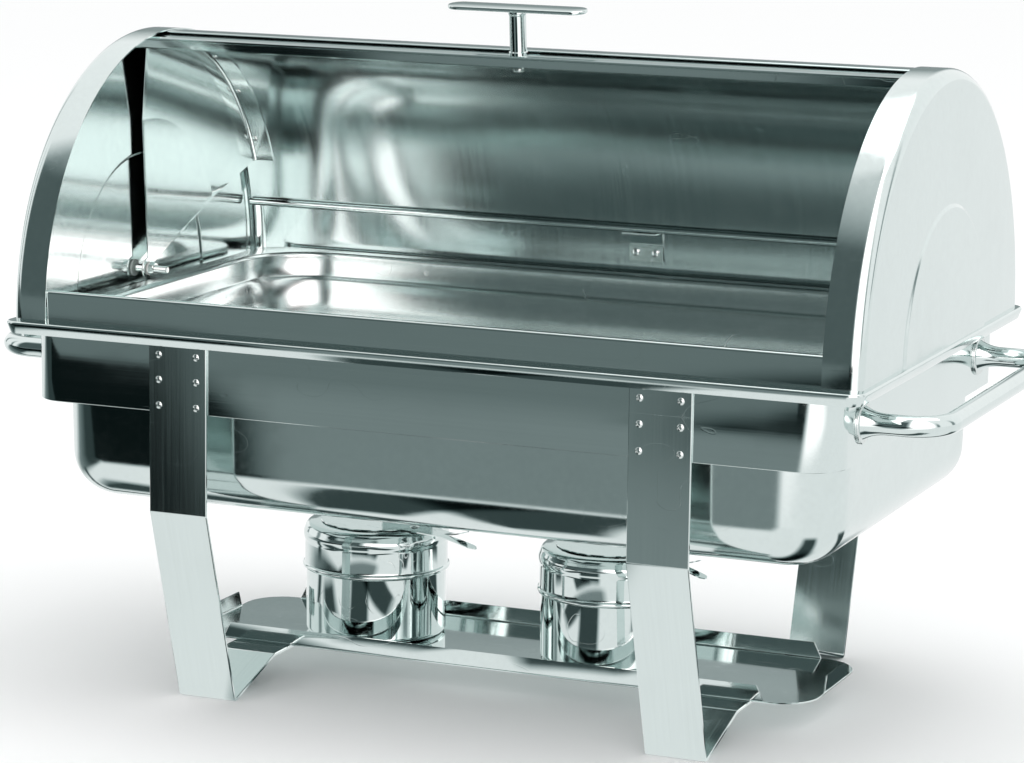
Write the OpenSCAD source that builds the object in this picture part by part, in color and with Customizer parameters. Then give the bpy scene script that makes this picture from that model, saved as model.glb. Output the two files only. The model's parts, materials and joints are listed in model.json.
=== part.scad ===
// Roll top chafer for one full-size gastronorm pan.
// +X runs along the long side, +Y to the rear, +Z up. The origin is on the table,
// under the middle of the stand. The roll cover is drawn in its open position.

/* [Water pan] */
// Length of the rim, along X
rim_len = 560; // [550:1:590]
// Depth of the rim, along Y
rim_dep = 355; // [350:1:375]
// Height of the top of the rim above the table
rim_top = 239; // [235:1:250]
// Height of the turned-down edge of the rim
skirt_h = 7.7; // [5:0.1:12]
// Length of the pan body
pan_len = 516; // [510:1:520]
// Depth of the pan body, front to rear
pan_dep = 315; // [308:1:318]
// Height of the pan's bottom above the table
pan_floor_z = 125; // [122:1:135]
// Thickness of the pressed sheet
sheet_t = 0.8; // [0.6:0.1:1.2]

/* [Food pan] */
// Length of the gastronorm rim
food_len = 530; // [528:1:532]
// Width of the gastronorm rim
food_dep = 325; // [323:1:327]
// Depth of the food pan below its rim
food_h = 65; // [40:5:65]
// Height of the turned-down edge of the food pan's rim
food_edge_h = 4; // [3:0.5:5]

/* [Hood] */
// Outer radius of the hood
hood_r = 169.4; // [168:0.1:170]
// Half of the hood's length, to the faces of the end caps
hood_half = 277; // [275:0.5:278]
// Half of the clear width between the two front hoops
hoop_half = 253; // [250:1:258]
// Height of the front apron above the rim
apron_h = 19.2; // [16:0.2:20]
// Front edge of the fixed rear barrel, in degrees from the rear horizontal
barrel_end = 92; // [90:1:93]
// Height of the cover's pivot above the table
pivot_z = 248; // [248:0.5:249]
// Diameter of the pivot studs
stud_d = 5; // [4:0.5:6]

/* [Roll cover] */
// Outer radius of the cover sheet, from the pivot
cover_r = 157.5; // [154:0.5:158]
// Half of the cover's length
cover_half = 272.5; // [268:0.5:273]
// Angle of the trailing edge with the cover open
trail_a = 10; // [9:1:14]
// Angle of the leading edge with the cover open
lead_a = 96; // [95:1:97]
// Length of the handle plate
grip_len = 93; // [70:1:110]
// Width of the handle plate
grip_w = 18; // [14:1:26]
// Diameter of the handle post
post_d = 12; // [8:0.5:12]

/* [Stand] */
// Length of the band that carries the water pan
band_len = 528; // [524:1:530]
// Depth of the band, front to rear
band_dep = 346; // [342:1:347]
// Height of the band's lower edge above the table
band_low_z = 190; // [185:1:200]
// Distance from the middle to each leg strip
leg_x = 157.6; // [140:0.2:175]
// Width of the leg strips
leg_w = 39; // [30:1:45]
// Thickness of the leg strips
leg_t = 2; // [1.5:0.1:2.5]
// Height at which the legs start to lean inwards
knee_z = 127; // [110:1:140]
// Distance from the middle to the toe of each leg
toe_y = 136.5; // [125:0.5:150]

/* [Handles] */
// Distance from the middle to each handle's outermost face
handle_reach = 318; // [310:1:330]
// Distance from the middle to each end of a handle, along Y
handle_y = 124; // [100:1:130]
// Diameter of the handle tube
handle_d = 12.6; // [10:0.2:14]
// Height of the handles above the table
handle_z = 213; // [206:1:220]

/* [Burners] */
// Diameter of a burner can
can_d = 92; // [86:1:94]
// Height of a burner with its lid
burner_h = 73.5; // [70:0.5:76]
// Height of the top face of the burner tray
tray_z = 19; // [17:0.5:21]
// Middle of the left burner, along X
left_burner_x = -105; // [-110:1:-95]
// Middle of the right burner, along X
right_burner_x = 61.5; // [60:0.5:100]

/* [Hidden] */
$fn = 64;
fit = 0.05; // radial clearance of pins and rivets
sides = [-1, 1];

// Water pan
rim_low = rim_top - skirt_h;
rim_r = 10;
pan_r = 38;
pan_edge_r = 28;
pan_depth = rim_top - pan_floor_z;

// Food pan
food_top = rim_top + food_edge_h;
food_wall_in = 12.5; // width of the gastronorm rim
food_rim_r = 24;
food_r = 50;
food_edge_r = 26;
food_draft = 6; // how far each wall leans in over its height

// Hood
cap_round = 8;
cap_in = hood_half - sheet_t;
emboss_r = 87;
emboss_h = 1.2;
barrel_r = hood_r - sheet_t - 0.1;
barrel_half = hood_half - cap_round - 1;
apron_y = hood_r - 2;
apron_hem = 4;
stud_in = 257;
bush_d = 11;
bush_t = 1.6;
bush_gap = 0.2;
nut_af = 8;
nut_t = 4;

// Roll cover
sector_x = cover_half - 0.5;
sector_low_a = 21.5;
sector_high_a = 94;
sector_r = cover_r - sheet_t - 0.1;
strip_w = 21;
boss_r = 7.5;
bar_t = 6;
bar_h = 8;
bar_half_a = asin(bar_t / 2 / cover_r);
post_top = 186;
grip_t = 2.4;
grip_screw_d = 3.2;
hem_d = 5;
trail_r = cover_r - sheet_t - hem_d / 2 - 0.05;
rivet_angles = [28, 44, 60, 76, 90];
rivet_seat = 0.13; // seat below the sheet's inner face, clear of its curve
trail_y = trail_r * cos(trail_a);
trail_z = pivot_z + trail_r * sin(trail_a);

// Stop bracket
stop_x = 20;
stop_w = 24;
stop_t = 1.2;
stop_top = trail_z - hem_d / 2 - 0.1;
stop_y = sqrt(pow(barrel_r - sheet_t, 2) - pow(24, 2)) - 0.15;
stop_tab_y = sqrt(pow(barrel_r - sheet_t, 2) - pow(stop_top - rim_top, 2)) - 0.3;

// Stand
band_t = 1.5;
band_r = 24;
band_top = rim_top - sheet_t;
leg_y = band_dep / 2 + leg_t;
cross_z = tray_z - 1;
cross_y = 80;
rivet_cols = [-12.8, 12.8];
rivet_rows = [194.5, 210.5, 226.0];
rivet_hole = 3.1;

// Tray
tray_t = 1;
tray_half_len = 214;
tray_half_dep = 58;
tray_r = 26;
flange_h = 10;
flange_half = 186;
tab_half = 22;

// Handles
bend_r = 26;
socket_r = 10;
washer_d = 26;
washer_t = 1.6;
screw_d = 5;
band_x = band_len / 2;
handle_x = handle_reach - handle_d / 2;
foot_x = band_x + washer_t;

// Burners
burner_y = 4;
can_h = 52;
can_t = 0.6;
bead_z = 42;
lid_low = 45;
lid_hole_d = 62;
damper_d = 73;
damper_t = 0.8;
swivel_r = 36;
tail_len = 96;
left_tail_a = -22;
right_tail_a = -30;

// ---- shared shapes ----

// Points of an arc about (cx, cy), from angle a0 to a1
function arc(cx, cy, r, a0, a1, n) =
  [for (i = [0:n]) let (a = a0 + (a1 - a0) * i / n) [cx + r * cos(a), cy + r * sin(a)]];

// A rectangle with round corners, centred
module round_rect(len, dep, r) {
  square([len - 2 * r, dep], center = true);
  square([len, dep - 2 * r], center = true);
  for (x = sides, y = sides)
    translate([x * (len / 2 - r), y * (dep / 2 - r)]) circle(r = r);
}

// A ring of sheet along a rounded rectangle
module round_ring(len, dep, r, t, h)
  linear_extrude(h) difference() {
    round_rect(len, dep, r);
    round_rect(len - 2 * t, dep - 2 * t, r - t);
  }

// A 2D section carried round a rounded rectangle. The section's x is the
// distance outwards from the line through the corner centres at (cx, cy).
module sweep_rect(cx, cy) {
  for (k = [0:3])
    translate([(k == 0 || k == 3) ? cx : -cx, (k < 2) ? cy : -cy, 0])
      rotate([0, 0, 90 * k]) rotate_extrude(angle = 90) children();
  for (s = [0, 180]) {
    rotate([0, 0, s]) translate([cx, cy, 0]) rotate([90, 0, 0])
      linear_extrude(2 * cy) children();
    rotate([0, 0, s + 90]) translate([cy, cx, 0]) rotate([90, 0, 0])
      linear_extrude(2 * cx) children();
  }
}

// Section of a pressed pan's wall and rounded bottom edge, from the corner centre
// line outwards: outer top radius r, bottom edge radius e, wall leaning in by lean
module pan_section(r, e, h, t, lean) {
  n = 8;
  polygon(concat(
    [[0, 0]],
    arc(r - lean - e, e, e, -90, 0, n),
    [[r, h], [r - t, h]],
    arc(r - lean - e, e, e - t, 0, -90, n),
    [[0, t]]
  ));
}

// A bent sheet strip along X: a section in (y, z) from the right, width w about x
module section_x(x, w)
  translate([x - w / 2, 0, 0]) rotate([90, 0, 90]) linear_extrude(w) children();

// A ring sector in (y, z) about the origin
module ring_sector(r1, r2, a0, a1) {
  n = 24;
  polygon(concat(arc(0, 0, r2, a0, a1, n), arc(0, 0, r1, a1, a0, n)));
}

// ---- stand ----

module stand_band()
  color("silver") difference() {
    translate([0, 0, band_low_z])
      round_ring(band_len, band_dep, band_r, band_t, band_top - band_low_z);
    leg_rivet_shanks(rivet_hole / 2 + fit);
    handle_screw_holes(screw_d / 2 + fit);
  }

// Half of one leg strip's section in (y, z), from the top of the front leg to the middle
function leg_half(y_sign) = [
  [y_sign * leg_y, band_top], [y_sign * leg_y, knee_z], [y_sign * toe_y, 0],
  [y_sign * (toe_y - 2.4), 0], [y_sign * cross_y, cross_z - leg_t]
];
function leg_half_in(y_sign) = [
  [y_sign * cross_y, cross_z], [y_sign * (toe_y - 3.2), leg_t + 0.6],
  [y_sign * (leg_y - leg_t), knee_z + 0.3], [y_sign * (leg_y - leg_t), band_top]
];
function flipped(points) = [for (i = [len(points) - 1:-1:0]) points[i]];

module leg_strip(x)
  color("lightgray") difference() {
    section_x(x, leg_w) polygon(concat(
      leg_half(-1), flipped(leg_half(1)), flipped(leg_half_in(1)), leg_half_in(-1)
    ));
    leg_rivet_shanks(rivet_hole / 2 + fit);
  }

module left_leg_strip() leg_strip(-leg_x);
module right_leg_strip() leg_strip(leg_x);

// Places for one rivet's axis, pointing outwards from the band
module each_leg_rivet()
  for (x = sides, y = sides, c = rivet_cols, z = rivet_rows)
    translate([x * leg_x + c, y * band_dep / 2, z]) rotate([-90 * y, 0, 0]) children();

module leg_rivet_shanks(r) each_leg_rivet() translate([0, 0, -4]) cylinder(r = r, h = 10);

module leg_rivets()
  color("gray") each_leg_rivet() {
    translate([0, 0, -band_t]) cylinder(d = rivet_hole, h = band_t + leg_t);
    translate([0, 0, leg_t]) difference() {
      cylinder(d1 = 5, d2 = 3.6, h = 0.9);
      translate([0, 0, 0.3]) cylinder(d = 1.8, h = 1);
    }
    translate([0, 0, -band_t - 1]) cylinder(d = 4.4, h = 1);
  }

// ---- burner tray ----

module burner_tray()
  color("gainsboro") {
    translate([0, 0, tray_z - tray_t]) linear_extrude(tray_t)
      round_rect(2 * tray_half_len, 2 * tray_half_dep, tray_r);
    for (y = sides) translate([0, y * (tray_half_dep - tray_t / 2), tray_z - tray_t])
      rotate([90, 0, 0]) translate([0, 0, -tray_t / 2]) linear_extrude(tray_t)
        polygon([
          [-flange_half, 0], [flange_half, 0], [flange_half, tray_t],
          [flange_half - 5, tray_t + flange_h], [-flange_half + 5, tray_t + flange_h],
          [-flange_half, tray_t]
        ]);
    for (x = sides) translate([x * (tray_half_len - tray_t / 2), 0, tray_z - tray_t])
      rotate([90, 0, 90]) translate([0, 0, -tray_t / 2]) linear_extrude(tray_t)
        polygon([
          [-tab_half, 0], [tab_half, 0], [tab_half, tray_t],
          [tab_half - 4, tray_t + flange_h], [-tab_half + 4, tray_t + flange_h],
          [-tab_half, tray_t]
        ]);
  }

// ---- handles ----

// One handle: two flared sockets on the band's end, two bends and a straight grip
module handle(side)
  color("silver") mirror([side < 0 ? 1 : 0, 0, 0]) difference() {
    union() {
      for (y = sides) {
        translate([foot_x, y * handle_y, handle_z]) rotate([0, 90, 0])
          cylinder(r = handle_d / 2, h = handle_x - bend_r - foot_x);
        translate([foot_x, y * handle_y, handle_z]) rotate([0, 90, 0])
          cylinder(r1 = socket_r, r2 = handle_d / 2, h = 12, $fn = 64);
        translate([handle_x - bend_r, y * (handle_y - bend_r), handle_z])
          rotate([0, 0, y > 0 ? 0 : -90]) rotate_extrude(angle = 90)
            translate([bend_r, 0]) circle(d = handle_d);
      }
      translate([handle_x, -(handle_y - bend_r), handle_z]) rotate([-90, 0, 0])
        cylinder(d = handle_d, h = 2 * (handle_y - bend_r));
    }
    handle_screw_holes(screw_d / 2 + fit);
  }

module left_handle() handle(-1);
module right_handle() handle(1);

module each_handle_screw()
  for (x = sides, y = sides)
    translate([x * band_x, y * handle_y, handle_z]) rotate([0, 90 * x, 0]) children();

module handle_screw_holes(r) each_handle_screw() translate([0, 0, -3]) cylinder(r = r, h = 17);

module handle_washers()
  color("gray") each_handle_screw() difference() {
    cylinder(d = washer_d, h = washer_t);
    translate([0, 0, -1]) cylinder(d = screw_d + 0.4, h = washer_t + 2);
  }

module handle_screws()
  color("dimgray") each_handle_screw() {
    translate([0, 0, -band_t - 2.6]) cylinder(d = 9, h = 2.6);
    translate([0, 0, -band_t]) cylinder(d = screw_d, h = band_t + washer_t + 10);
  }

// ---- pans ----

module water_pan()
  color("silver") {
    translate([0, 0, pan_floor_z]) {
      sweep_rect(pan_len / 2 - pan_r, pan_dep / 2 - pan_r)
        pan_section(pan_r, pan_edge_r, pan_depth - sheet_t, sheet_t, 2);
      linear_extrude(sheet_t)
        square([pan_len - 2 * pan_r, pan_dep - 2 * pan_r], center = true);
    }
    translate([0, 0, rim_top - sheet_t]) linear_extrude(sheet_t) difference() {
      round_rect(rim_len, rim_dep, rim_r);
      round_rect(pan_len - 2 * sheet_t, pan_dep - 2 * sheet_t, pan_r - sheet_t);
    }
    translate([0, 0, rim_low]) round_ring(rim_len, rim_dep, rim_r, sheet_t, skirt_h - sheet_t);
  }

module food_pan() {
  wall_len = food_len - 2 * food_wall_in;
  wall_dep = food_dep - 2 * food_wall_in;
  floor_r = food_r;
  color("gainsboro") {
    translate([0, 0, food_top - food_h]) {
      sweep_rect(wall_len / 2 - floor_r, wall_dep / 2 - floor_r)
        pan_section(food_r, food_edge_r, food_h - sheet_t, sheet_t, food_draft);
      linear_extrude(sheet_t)
        square([wall_len - 2 * floor_r, wall_dep - 2 * floor_r], center = true);
    }
    translate([0, 0, food_top - sheet_t]) linear_extrude(sheet_t) difference() {
      round_rect(food_len, food_dep, food_rim_r);
      round_rect(wall_len - 2 * sheet_t, wall_dep - 2 * sheet_t, floor_r - sheet_t);
    }
    translate([0, 0, rim_top])
      round_ring(food_len, food_dep, food_rim_r, sheet_t, food_edge_h - sheet_t);
  }
}

// ---- fixed hood ----

// Section of an end cap: x is the distance from the hood's axis, y runs along X
module cap_section() {
  n = 8;
  polygon(concat(
    [[0, hood_half + emboss_h], [emboss_r - 2, hood_half + emboss_h], [emboss_r, hood_half]],
    arc(hood_r - cap_round, hood_half - cap_round, cap_round, 90, 0, n),
    [[hood_r, hoop_half], [hood_r - sheet_t, hoop_half]],
    arc(hood_r - cap_round, hood_half - cap_round, cap_round - sheet_t, 0, 90, n),
    [[emboss_r, cap_in], [emboss_r - 2, cap_in + emboss_h], [0, cap_in + emboss_h]]
  ));
}

module end_cap(side)
  color("lightgray") mirror([side < 0 ? 1 : 0, 0, 0]) translate([0, 0, rim_top])
    rotate([90, 0, 90]) rotate_extrude(angle = 180) cap_section();

module left_end_cap() end_cap(-1);
module right_end_cap() end_cap(1);

module rear_barrel()
  color("slategray") difference() {
    translate([-barrel_half, 0, rim_top]) rotate([90, 0, 90])
      rotate_extrude(angle = barrel_end)
        translate([barrel_r - sheet_t, 0]) square([sheet_t, 2 * barrel_half]);
    stop_screw_holes(1.5 + fit);
  }

module front_apron()
  color("dimgray") section_x(0, 2 * hoop_half) polygon([
    [-apron_y, rim_top], [-apron_y, rim_top + apron_h],
    [-apron_y + apron_hem, rim_top + apron_h],
    [-apron_y + apron_hem, rim_top + apron_h - sheet_t],
    [-apron_y + sheet_t, rim_top + apron_h - sheet_t], [-apron_y + sheet_t, rim_top]
  ]);

// Axis of each pivot, pointing to the middle from the cap's inner face
module each_pivot()
  for (x = sides) translate([x * (cap_in + emboss_h), 0, pivot_z])
    rotate([0, -90 * x, 0]) children();

module pivot_studs()
  color("gray") each_pivot()
    cylinder(d = stud_d, h = cap_in + emboss_h - stud_in);

module pivot_bushes()
  color("white") each_pivot() translate([0, 0, cap_in + emboss_h - sector_x]) {
    translate([0, 0, -bush_t - bush_gap]) difference() {
      cylinder(d = bush_d, h = bush_t);
      translate([0, 0, -1]) cylinder(r = stud_d / 2 + fit, h = bush_t + 2);
    }
    translate([0, 0, sheet_t + bush_gap]) difference() {
      cylinder(d = bush_d - 2, h = 1);
      translate([0, 0, -1]) cylinder(r = stud_d / 2 + fit, h = 3);
    }
  }

module pivot_nuts()
  color("dimgray") each_pivot()
    translate([0, 0, cap_in + emboss_h - sector_x + sheet_t + bush_gap + 1]) difference() {
      cylinder(d = nut_af / cos(30), h = nut_t, $fn = 6);
      translate([0, 0, -1]) cylinder(r = stud_d / 2, h = nut_t + 2);
    }

// A small plate on the barrel's inner face, with a tab that the open cover rests on
module stop_bracket()
  color("gray") difference() {
    section_x(stop_x, stop_w) polygon([
      [stop_y, rim_top + 12], [stop_y, rim_top + 24], [stop_tab_y, stop_top],
      [trail_y - 2, stop_top], [trail_y - 2, stop_top - stop_t],
      [stop_tab_y - stop_t, stop_top - stop_t],
      [stop_y - stop_t, rim_top + 24], [stop_y - stop_t, rim_top + 12]
    ]);
    stop_screw_holes(1.5 + fit);
  }

module each_stop_screw()
  for (x = [-7, 7])
    translate([stop_x + x, stop_y - stop_t, rim_top + 18]) rotate([-90, 0, 0]) children();

module stop_screw_holes(r) each_stop_screw() translate([0, 0, -1]) cylinder(r = r, h = 8);

module stop_screws()
  color("dimgray") each_stop_screw() {
    translate([0, 0, -1.8]) cylinder(d = 5.5, h = 1.8);
    cylinder(d = 3, h = 4.6);
  }

// ---- roll cover ----

module about_pivot() translate([0, 0, pivot_z]) children();

module cover_sheet()
  color("slategray") about_pivot() rotate([90, 0, 90]) translate([0, 0, -cover_half])
    rotate([0, 0, trail_a]) rotate_extrude(angle = lead_a - bar_half_a - trail_a)
      translate([cover_r - sheet_t, 0]) square([sheet_t, 2 * cover_half]);

// Frame of the leading edge: z runs outwards along the radius at the leading edge
module at_leading_edge() about_pivot() rotate([lead_a - 90, 0, 0]) children();

module leading_bar()
  color("silver") at_leading_edge() difference() {
    translate([-cover_half, -bar_t / 2, cover_r - bar_h])
      cube([2 * cover_half, bar_t, bar_h]);
    cylinder(r = grip_screw_d / 2 + fit, h = cover_r + 1);
  }

module trailing_hem()
  color("silver") translate([-cover_half, trail_y, trail_z]) rotate([0, 90, 0])
    cylinder(d = hem_d, h = 2 * cover_half);

module sector(side)
  color("lightsteelblue") mirror([side < 0 ? 1 : 0, 0, 0]) about_pivot() difference() {
    rotate([90, 0, 90]) {
      rotate([0, 0, sector_low_a]) rotate_extrude(angle = sector_high_a - sector_low_a)
        polygon([
          [boss_r / 2, sector_x - sheet_t], [sector_r - sheet_t, sector_x - sheet_t],
          [sector_r - sheet_t, sector_x - strip_w], [sector_r, sector_x - strip_w],
          [sector_r, sector_x], [boss_r / 2, sector_x]
        ]);
      translate([0, 0, sector_x - sheet_t]) cylinder(r = boss_r, h = sheet_t);
    }
    translate([sector_x - 5, 0, 0]) rotate([0, 90, 0]) cylinder(r = stud_d / 2 + fit, h = 10);
    sector_rivet_holes(1.5 + fit);
  }

module left_sector() sector(-1);
module right_sector() sector(1);

module each_sector_rivet()
  for (a = rivet_angles)
    rotate([a - 90, 0, 0]) translate([sector_x - strip_w / 2, 0, cover_r]) children();

module sector_rivet_holes(r) each_sector_rivet() translate([0, 0, -5]) cylinder(r = r, h = 8);

module sector_rivets()
  color("gray") about_pivot() for (s = [0, 1]) mirror([s, 0, 0])
    each_sector_rivet() {
      translate([0, 0, -2 * sheet_t - rivet_seat]) cylinder(d = 3, h = sheet_t + 0.1);
      translate([0, 0, -2 * sheet_t - rivet_seat - 0.8]) cylinder(d = 4.4, h = 0.8);
    }

module handle_post()
  color("silver") at_leading_edge() difference() {
    translate([0, 0, cover_r]) cylinder(d = post_d, h = post_top - cover_r);
    cylinder(r = grip_screw_d / 2 + fit, h = cover_r + 12);
  }

module handle_plate()
  color("silver") at_leading_edge() translate([0, 0, post_top]) linear_extrude(grip_t)
    round_rect(grip_len, grip_w, grip_w / 2 - 0.01);

module handle_screw()
  color("dimgray") at_leading_edge() {
    translate([0, 0, cover_r - bar_h - 3]) cylinder(d = 8, h = 3);
    translate([0, 0, cover_r - bar_h]) cylinder(d = grip_screw_d, h = bar_h + 10);
  }

// ---- burners ----

module at_burner(x) translate([x, burner_y, tray_z]) children();

module burner_can(x)
  color("gainsboro") at_burner(x) rotate_extrude() polygon([
    [0, 0], [can_d / 2 - 4, 0], [can_d / 2, 4], [can_d / 2, can_h],
    [can_d / 2 - can_t, can_h], [can_d / 2 - can_t, 4.3], [can_d / 2 - 4.3, can_t], [0, can_t]
  ]);

// The lid's skirt fits over the can, down to a rolled bead
module burner_lid(x, tail_a) {
  r = can_d / 2 + 0.3;
  top = burner_h;
  color("gainsboro") at_burner(x) difference() {
    rotate_extrude() difference() {
      union() {
        translate([0, lid_low]) square([r + can_t, top - 4 - lid_low]);
        translate([0, lid_low]) square([r - 3, top - lid_low]);
        polygon([[r - 4, top], [r - 4, top - 4], [r + can_t, top - 4], [r - 2, top - 0.6]]);
        translate([r, lid_low]) circle(d = 4, $fn = 32);
      }
      translate([-1, lid_low - 3]) square([r + 1, can_h - lid_low + 3]);
      translate([-1, lid_low - 3]) square([r - 0.4, top - can_t - 3.6 - lid_low + 3]);
      translate([-1, lid_low - 3]) square([r - 4, top - can_t - lid_low + 3]);
      translate([-1, 0]) square([lid_hole_d / 2 + 1, 100]);
    }
    rotate([0, 0, tail_a]) translate([swivel_r, 0, top - 3]) cylinder(r = 2 + fit, h = 6);
  }
}

// The damper is a disc that swivels on a rivet at the lid's edge, with a forked tail
module damper(x, tail_a) {
  z = burner_h + 0.3;
  color("silver") at_burner(x) rotate([0, 0, tail_a]) translate([0, 0, z]) {
    linear_extrude(damper_t) difference() {
      union() {
        circle(d = damper_d);
        polygon([[30, -12], [46, -7], [64, -7], [64, 7], [46, 7], [30, 12]]);
      }
      translate([swivel_r, 0]) circle(r = 2 + fit);
    }
    // one prong bent down, one bent up
    translate([64, -6.6, -0.1]) rotate([0, 8, 0]) linear_extrude(damper_t)
      polygon([[-2, 0], [26, 1], [tail_len - 64, 4], [24, 6.2], [-2, 6.2]]);
    translate([64, 0.4, 0.3]) rotate([0, -14, 0]) linear_extrude(damper_t)
      polygon([[-1.5, 0], [16, 0], [20, 3], [16, 6.2], [-1.5, 6.2]]);
  }
}

module damper_rivet(x, tail_a)
  color("gray") at_burner(x) rotate([0, 0, tail_a]) translate([swivel_r, 0, burner_h]) {
    translate([0, 0, -can_t - 0.8]) cylinder(d = 5.6, h = 0.8);
    translate([0, 0, -can_t]) cylinder(d = 4, h = can_t + 0.6 + damper_t);
    translate([0, 0, 0.6 + damper_t]) cylinder(d = 6, h = 1);
  }

module left_burner_can() burner_can(left_burner_x);
module right_burner_can() burner_can(right_burner_x);
module left_burner_lid() burner_lid(left_burner_x, left_tail_a);
module right_burner_lid() burner_lid(right_burner_x, right_tail_a);
module left_damper() damper(left_burner_x, left_tail_a);
module right_damper() damper(right_burner_x, right_tail_a);
module left_damper_rivet() damper_rivet(left_burner_x, left_tail_a);
module right_damper_rivet() damper_rivet(right_burner_x, right_tail_a);

stand_band();
left_leg_strip();
right_leg_strip();
leg_rivets();
burner_tray();
left_handle();
right_handle();
handle_washers();
handle_screws();
water_pan();
food_pan();
left_end_cap();
right_end_cap();
rear_barrel();
front_apron();
pivot_studs();
pivot_bushes();
pivot_nuts();
stop_bracket();
stop_screws();
cover_sheet();
leading_bar();
trailing_hem();
left_sector();
right_sector();
sector_rivets();
handle_post();
handle_plate();
handle_screw();
left_burner_can();
left_burner_lid();
left_damper();
left_damper_rivet();
right_burner_can();
right_burner_lid();
right_damper();
right_damper_rivet();
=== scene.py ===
"""Roll top chafer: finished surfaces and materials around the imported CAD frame.

Every shape is a function of two parameters on a grid, or a sheet-metal section carried along a
path, worked out with numpy. Units are metres: +X runs along the long side, +Y to the rear, +Z up.
"""

import json
import logging
import math
from dataclasses import dataclass, field
from enum import Enum

import bmesh
import bpy
import numpy as np
from mathutils import Matrix, Vector


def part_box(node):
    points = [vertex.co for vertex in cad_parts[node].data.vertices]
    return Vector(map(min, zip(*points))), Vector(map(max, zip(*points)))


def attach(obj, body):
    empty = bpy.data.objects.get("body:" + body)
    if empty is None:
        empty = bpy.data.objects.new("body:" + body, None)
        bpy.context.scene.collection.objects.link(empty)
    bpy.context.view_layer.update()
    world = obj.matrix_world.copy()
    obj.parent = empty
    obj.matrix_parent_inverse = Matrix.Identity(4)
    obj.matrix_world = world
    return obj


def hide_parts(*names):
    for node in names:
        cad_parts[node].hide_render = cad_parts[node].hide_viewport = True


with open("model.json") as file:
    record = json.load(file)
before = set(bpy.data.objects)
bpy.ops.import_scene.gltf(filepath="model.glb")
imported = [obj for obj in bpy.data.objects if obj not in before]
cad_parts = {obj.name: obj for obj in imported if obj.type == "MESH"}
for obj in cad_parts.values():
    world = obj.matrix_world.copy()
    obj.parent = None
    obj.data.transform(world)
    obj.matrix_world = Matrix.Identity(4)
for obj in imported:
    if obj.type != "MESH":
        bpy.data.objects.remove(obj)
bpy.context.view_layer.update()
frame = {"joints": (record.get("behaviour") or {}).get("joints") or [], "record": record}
MM = 0.001
log = logging.getLogger("chafer")


# ---------------------------------------------------------------------------------------
# Places from the frame
# ---------------------------------------------------------------------------------------


@dataclass(frozen=True)
class Extent:
    """Lowest and highest corner of one CAD node at rest."""

    lo: np.ndarray
    hi: np.ndarray

    @classmethod
    def of(cls, node: str) -> "Extent":
        """Reads a node's box from the frame."""
        lo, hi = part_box(node)
        return cls(np.array(lo), np.array(hi))

    @property
    def mid(self) -> np.ndarray:
        """Middle of the box."""
        return (self.lo + self.hi) / 2

    @property
    def half(self) -> np.ndarray:
        """Half of the box's size."""
        return (self.hi - self.lo) / 2


class Side(Enum):
    """Left and right pieces are mirror images in X."""

    LEFT = -1
    RIGHT = 1

    @property
    def word(self) -> str:
        """The word that starts the names of this side's pieces."""
        return self.name.lower()


def joint_of(name: str) -> dict:
    """The record's joint of this name."""
    return next(j for j in frame["joints"] if j["name"] == name)


# ---------------------------------------------------------------------------------------
# Shape mathematics
# ---------------------------------------------------------------------------------------


def arc(cx: float, cy: float, r: float, a0: float, a1: float, n: int) -> np.ndarray:
    """Points of a circular arc: centre plus r times (cos a, sin a), a in degrees from a0 to a1."""
    a = np.radians(np.linspace(a0, a1, n + 1))
    return np.column_stack([cx + r * np.cos(a), cy + r * np.sin(a)])


def fillet(points: list, radii: list, steps: int = 6) -> np.ndarray:
    """An open polyline whose inner corners are rounded.

    At each corner the arc touches both legs at r * tan(turn / 2) from the corner, and its points
    are the two tangent points turned about the arc's centre.

    Args:
        points: corners in order, (x, y).
        radii: one radius for each corner; the first and last are ignored.
        steps: segments in each arc.

    Returns:
        Array of (x, y).
    """
    p = np.asarray(points, float)
    out = [p[0]]
    for i in range(1, len(p) - 1):
        u, v = p[i - 1] - p[i], p[i + 1] - p[i]
        lu, lv = np.linalg.norm(u), np.linalg.norm(v)
        u, v = u / lu, v / lv
        turn = math.pi - math.acos(float(np.clip(u @ v, -1, 1)))
        reach = min(radii[i] * math.tan(turn / 2), 0.49 * lu, 0.49 * lv)
        if reach < 1e-9:
            out.append(p[i])
            continue
        r = reach / math.tan(turn / 2)
        start = p[i] + u * reach
        bisector = (u + v) / np.linalg.norm(u + v)
        centre = p[i] + bisector * math.hypot(reach, r)
        first = start - centre
        sign = math.copysign(1.0, u[0] * -v[1] + u[1] * v[0])
        a = sign * np.linspace(0, turn, steps + 1)
        c, s = np.cos(a), np.sin(a)
        out.extend(centre + np.column_stack([first[0] * c - first[1] * s,
                                             first[0] * s + first[1] * c]))
    out.append(p[-1])
    return np.array(out)


def normals_of(line: np.ndarray) -> np.ndarray:
    """Unit normals of a polyline, to the left of its direction, mitred so that offsets stay true."""
    d = np.diff(line, axis=0)
    d /= np.linalg.norm(d, axis=1)[:, None]
    n = np.column_stack([-d[:, 1], d[:, 0]])
    first, last = n[:1], n[-1:]
    before, after = np.vstack([first, n]), np.vstack([n, last])
    mitre = before + after
    mitre /= np.linalg.norm(mitre, axis=1)[:, None]
    return mitre / np.maximum((mitre * after).sum(1), 0.5)[:, None]


def thicken(line: np.ndarray, t: float) -> np.ndarray:
    """Closed loop round an open polyline: the line moved t/2 to the left, then back t/2 to the right."""
    n = normals_of(line) * (t / 2)
    return np.vstack([line + n, (line - n)[::-1]])


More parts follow.
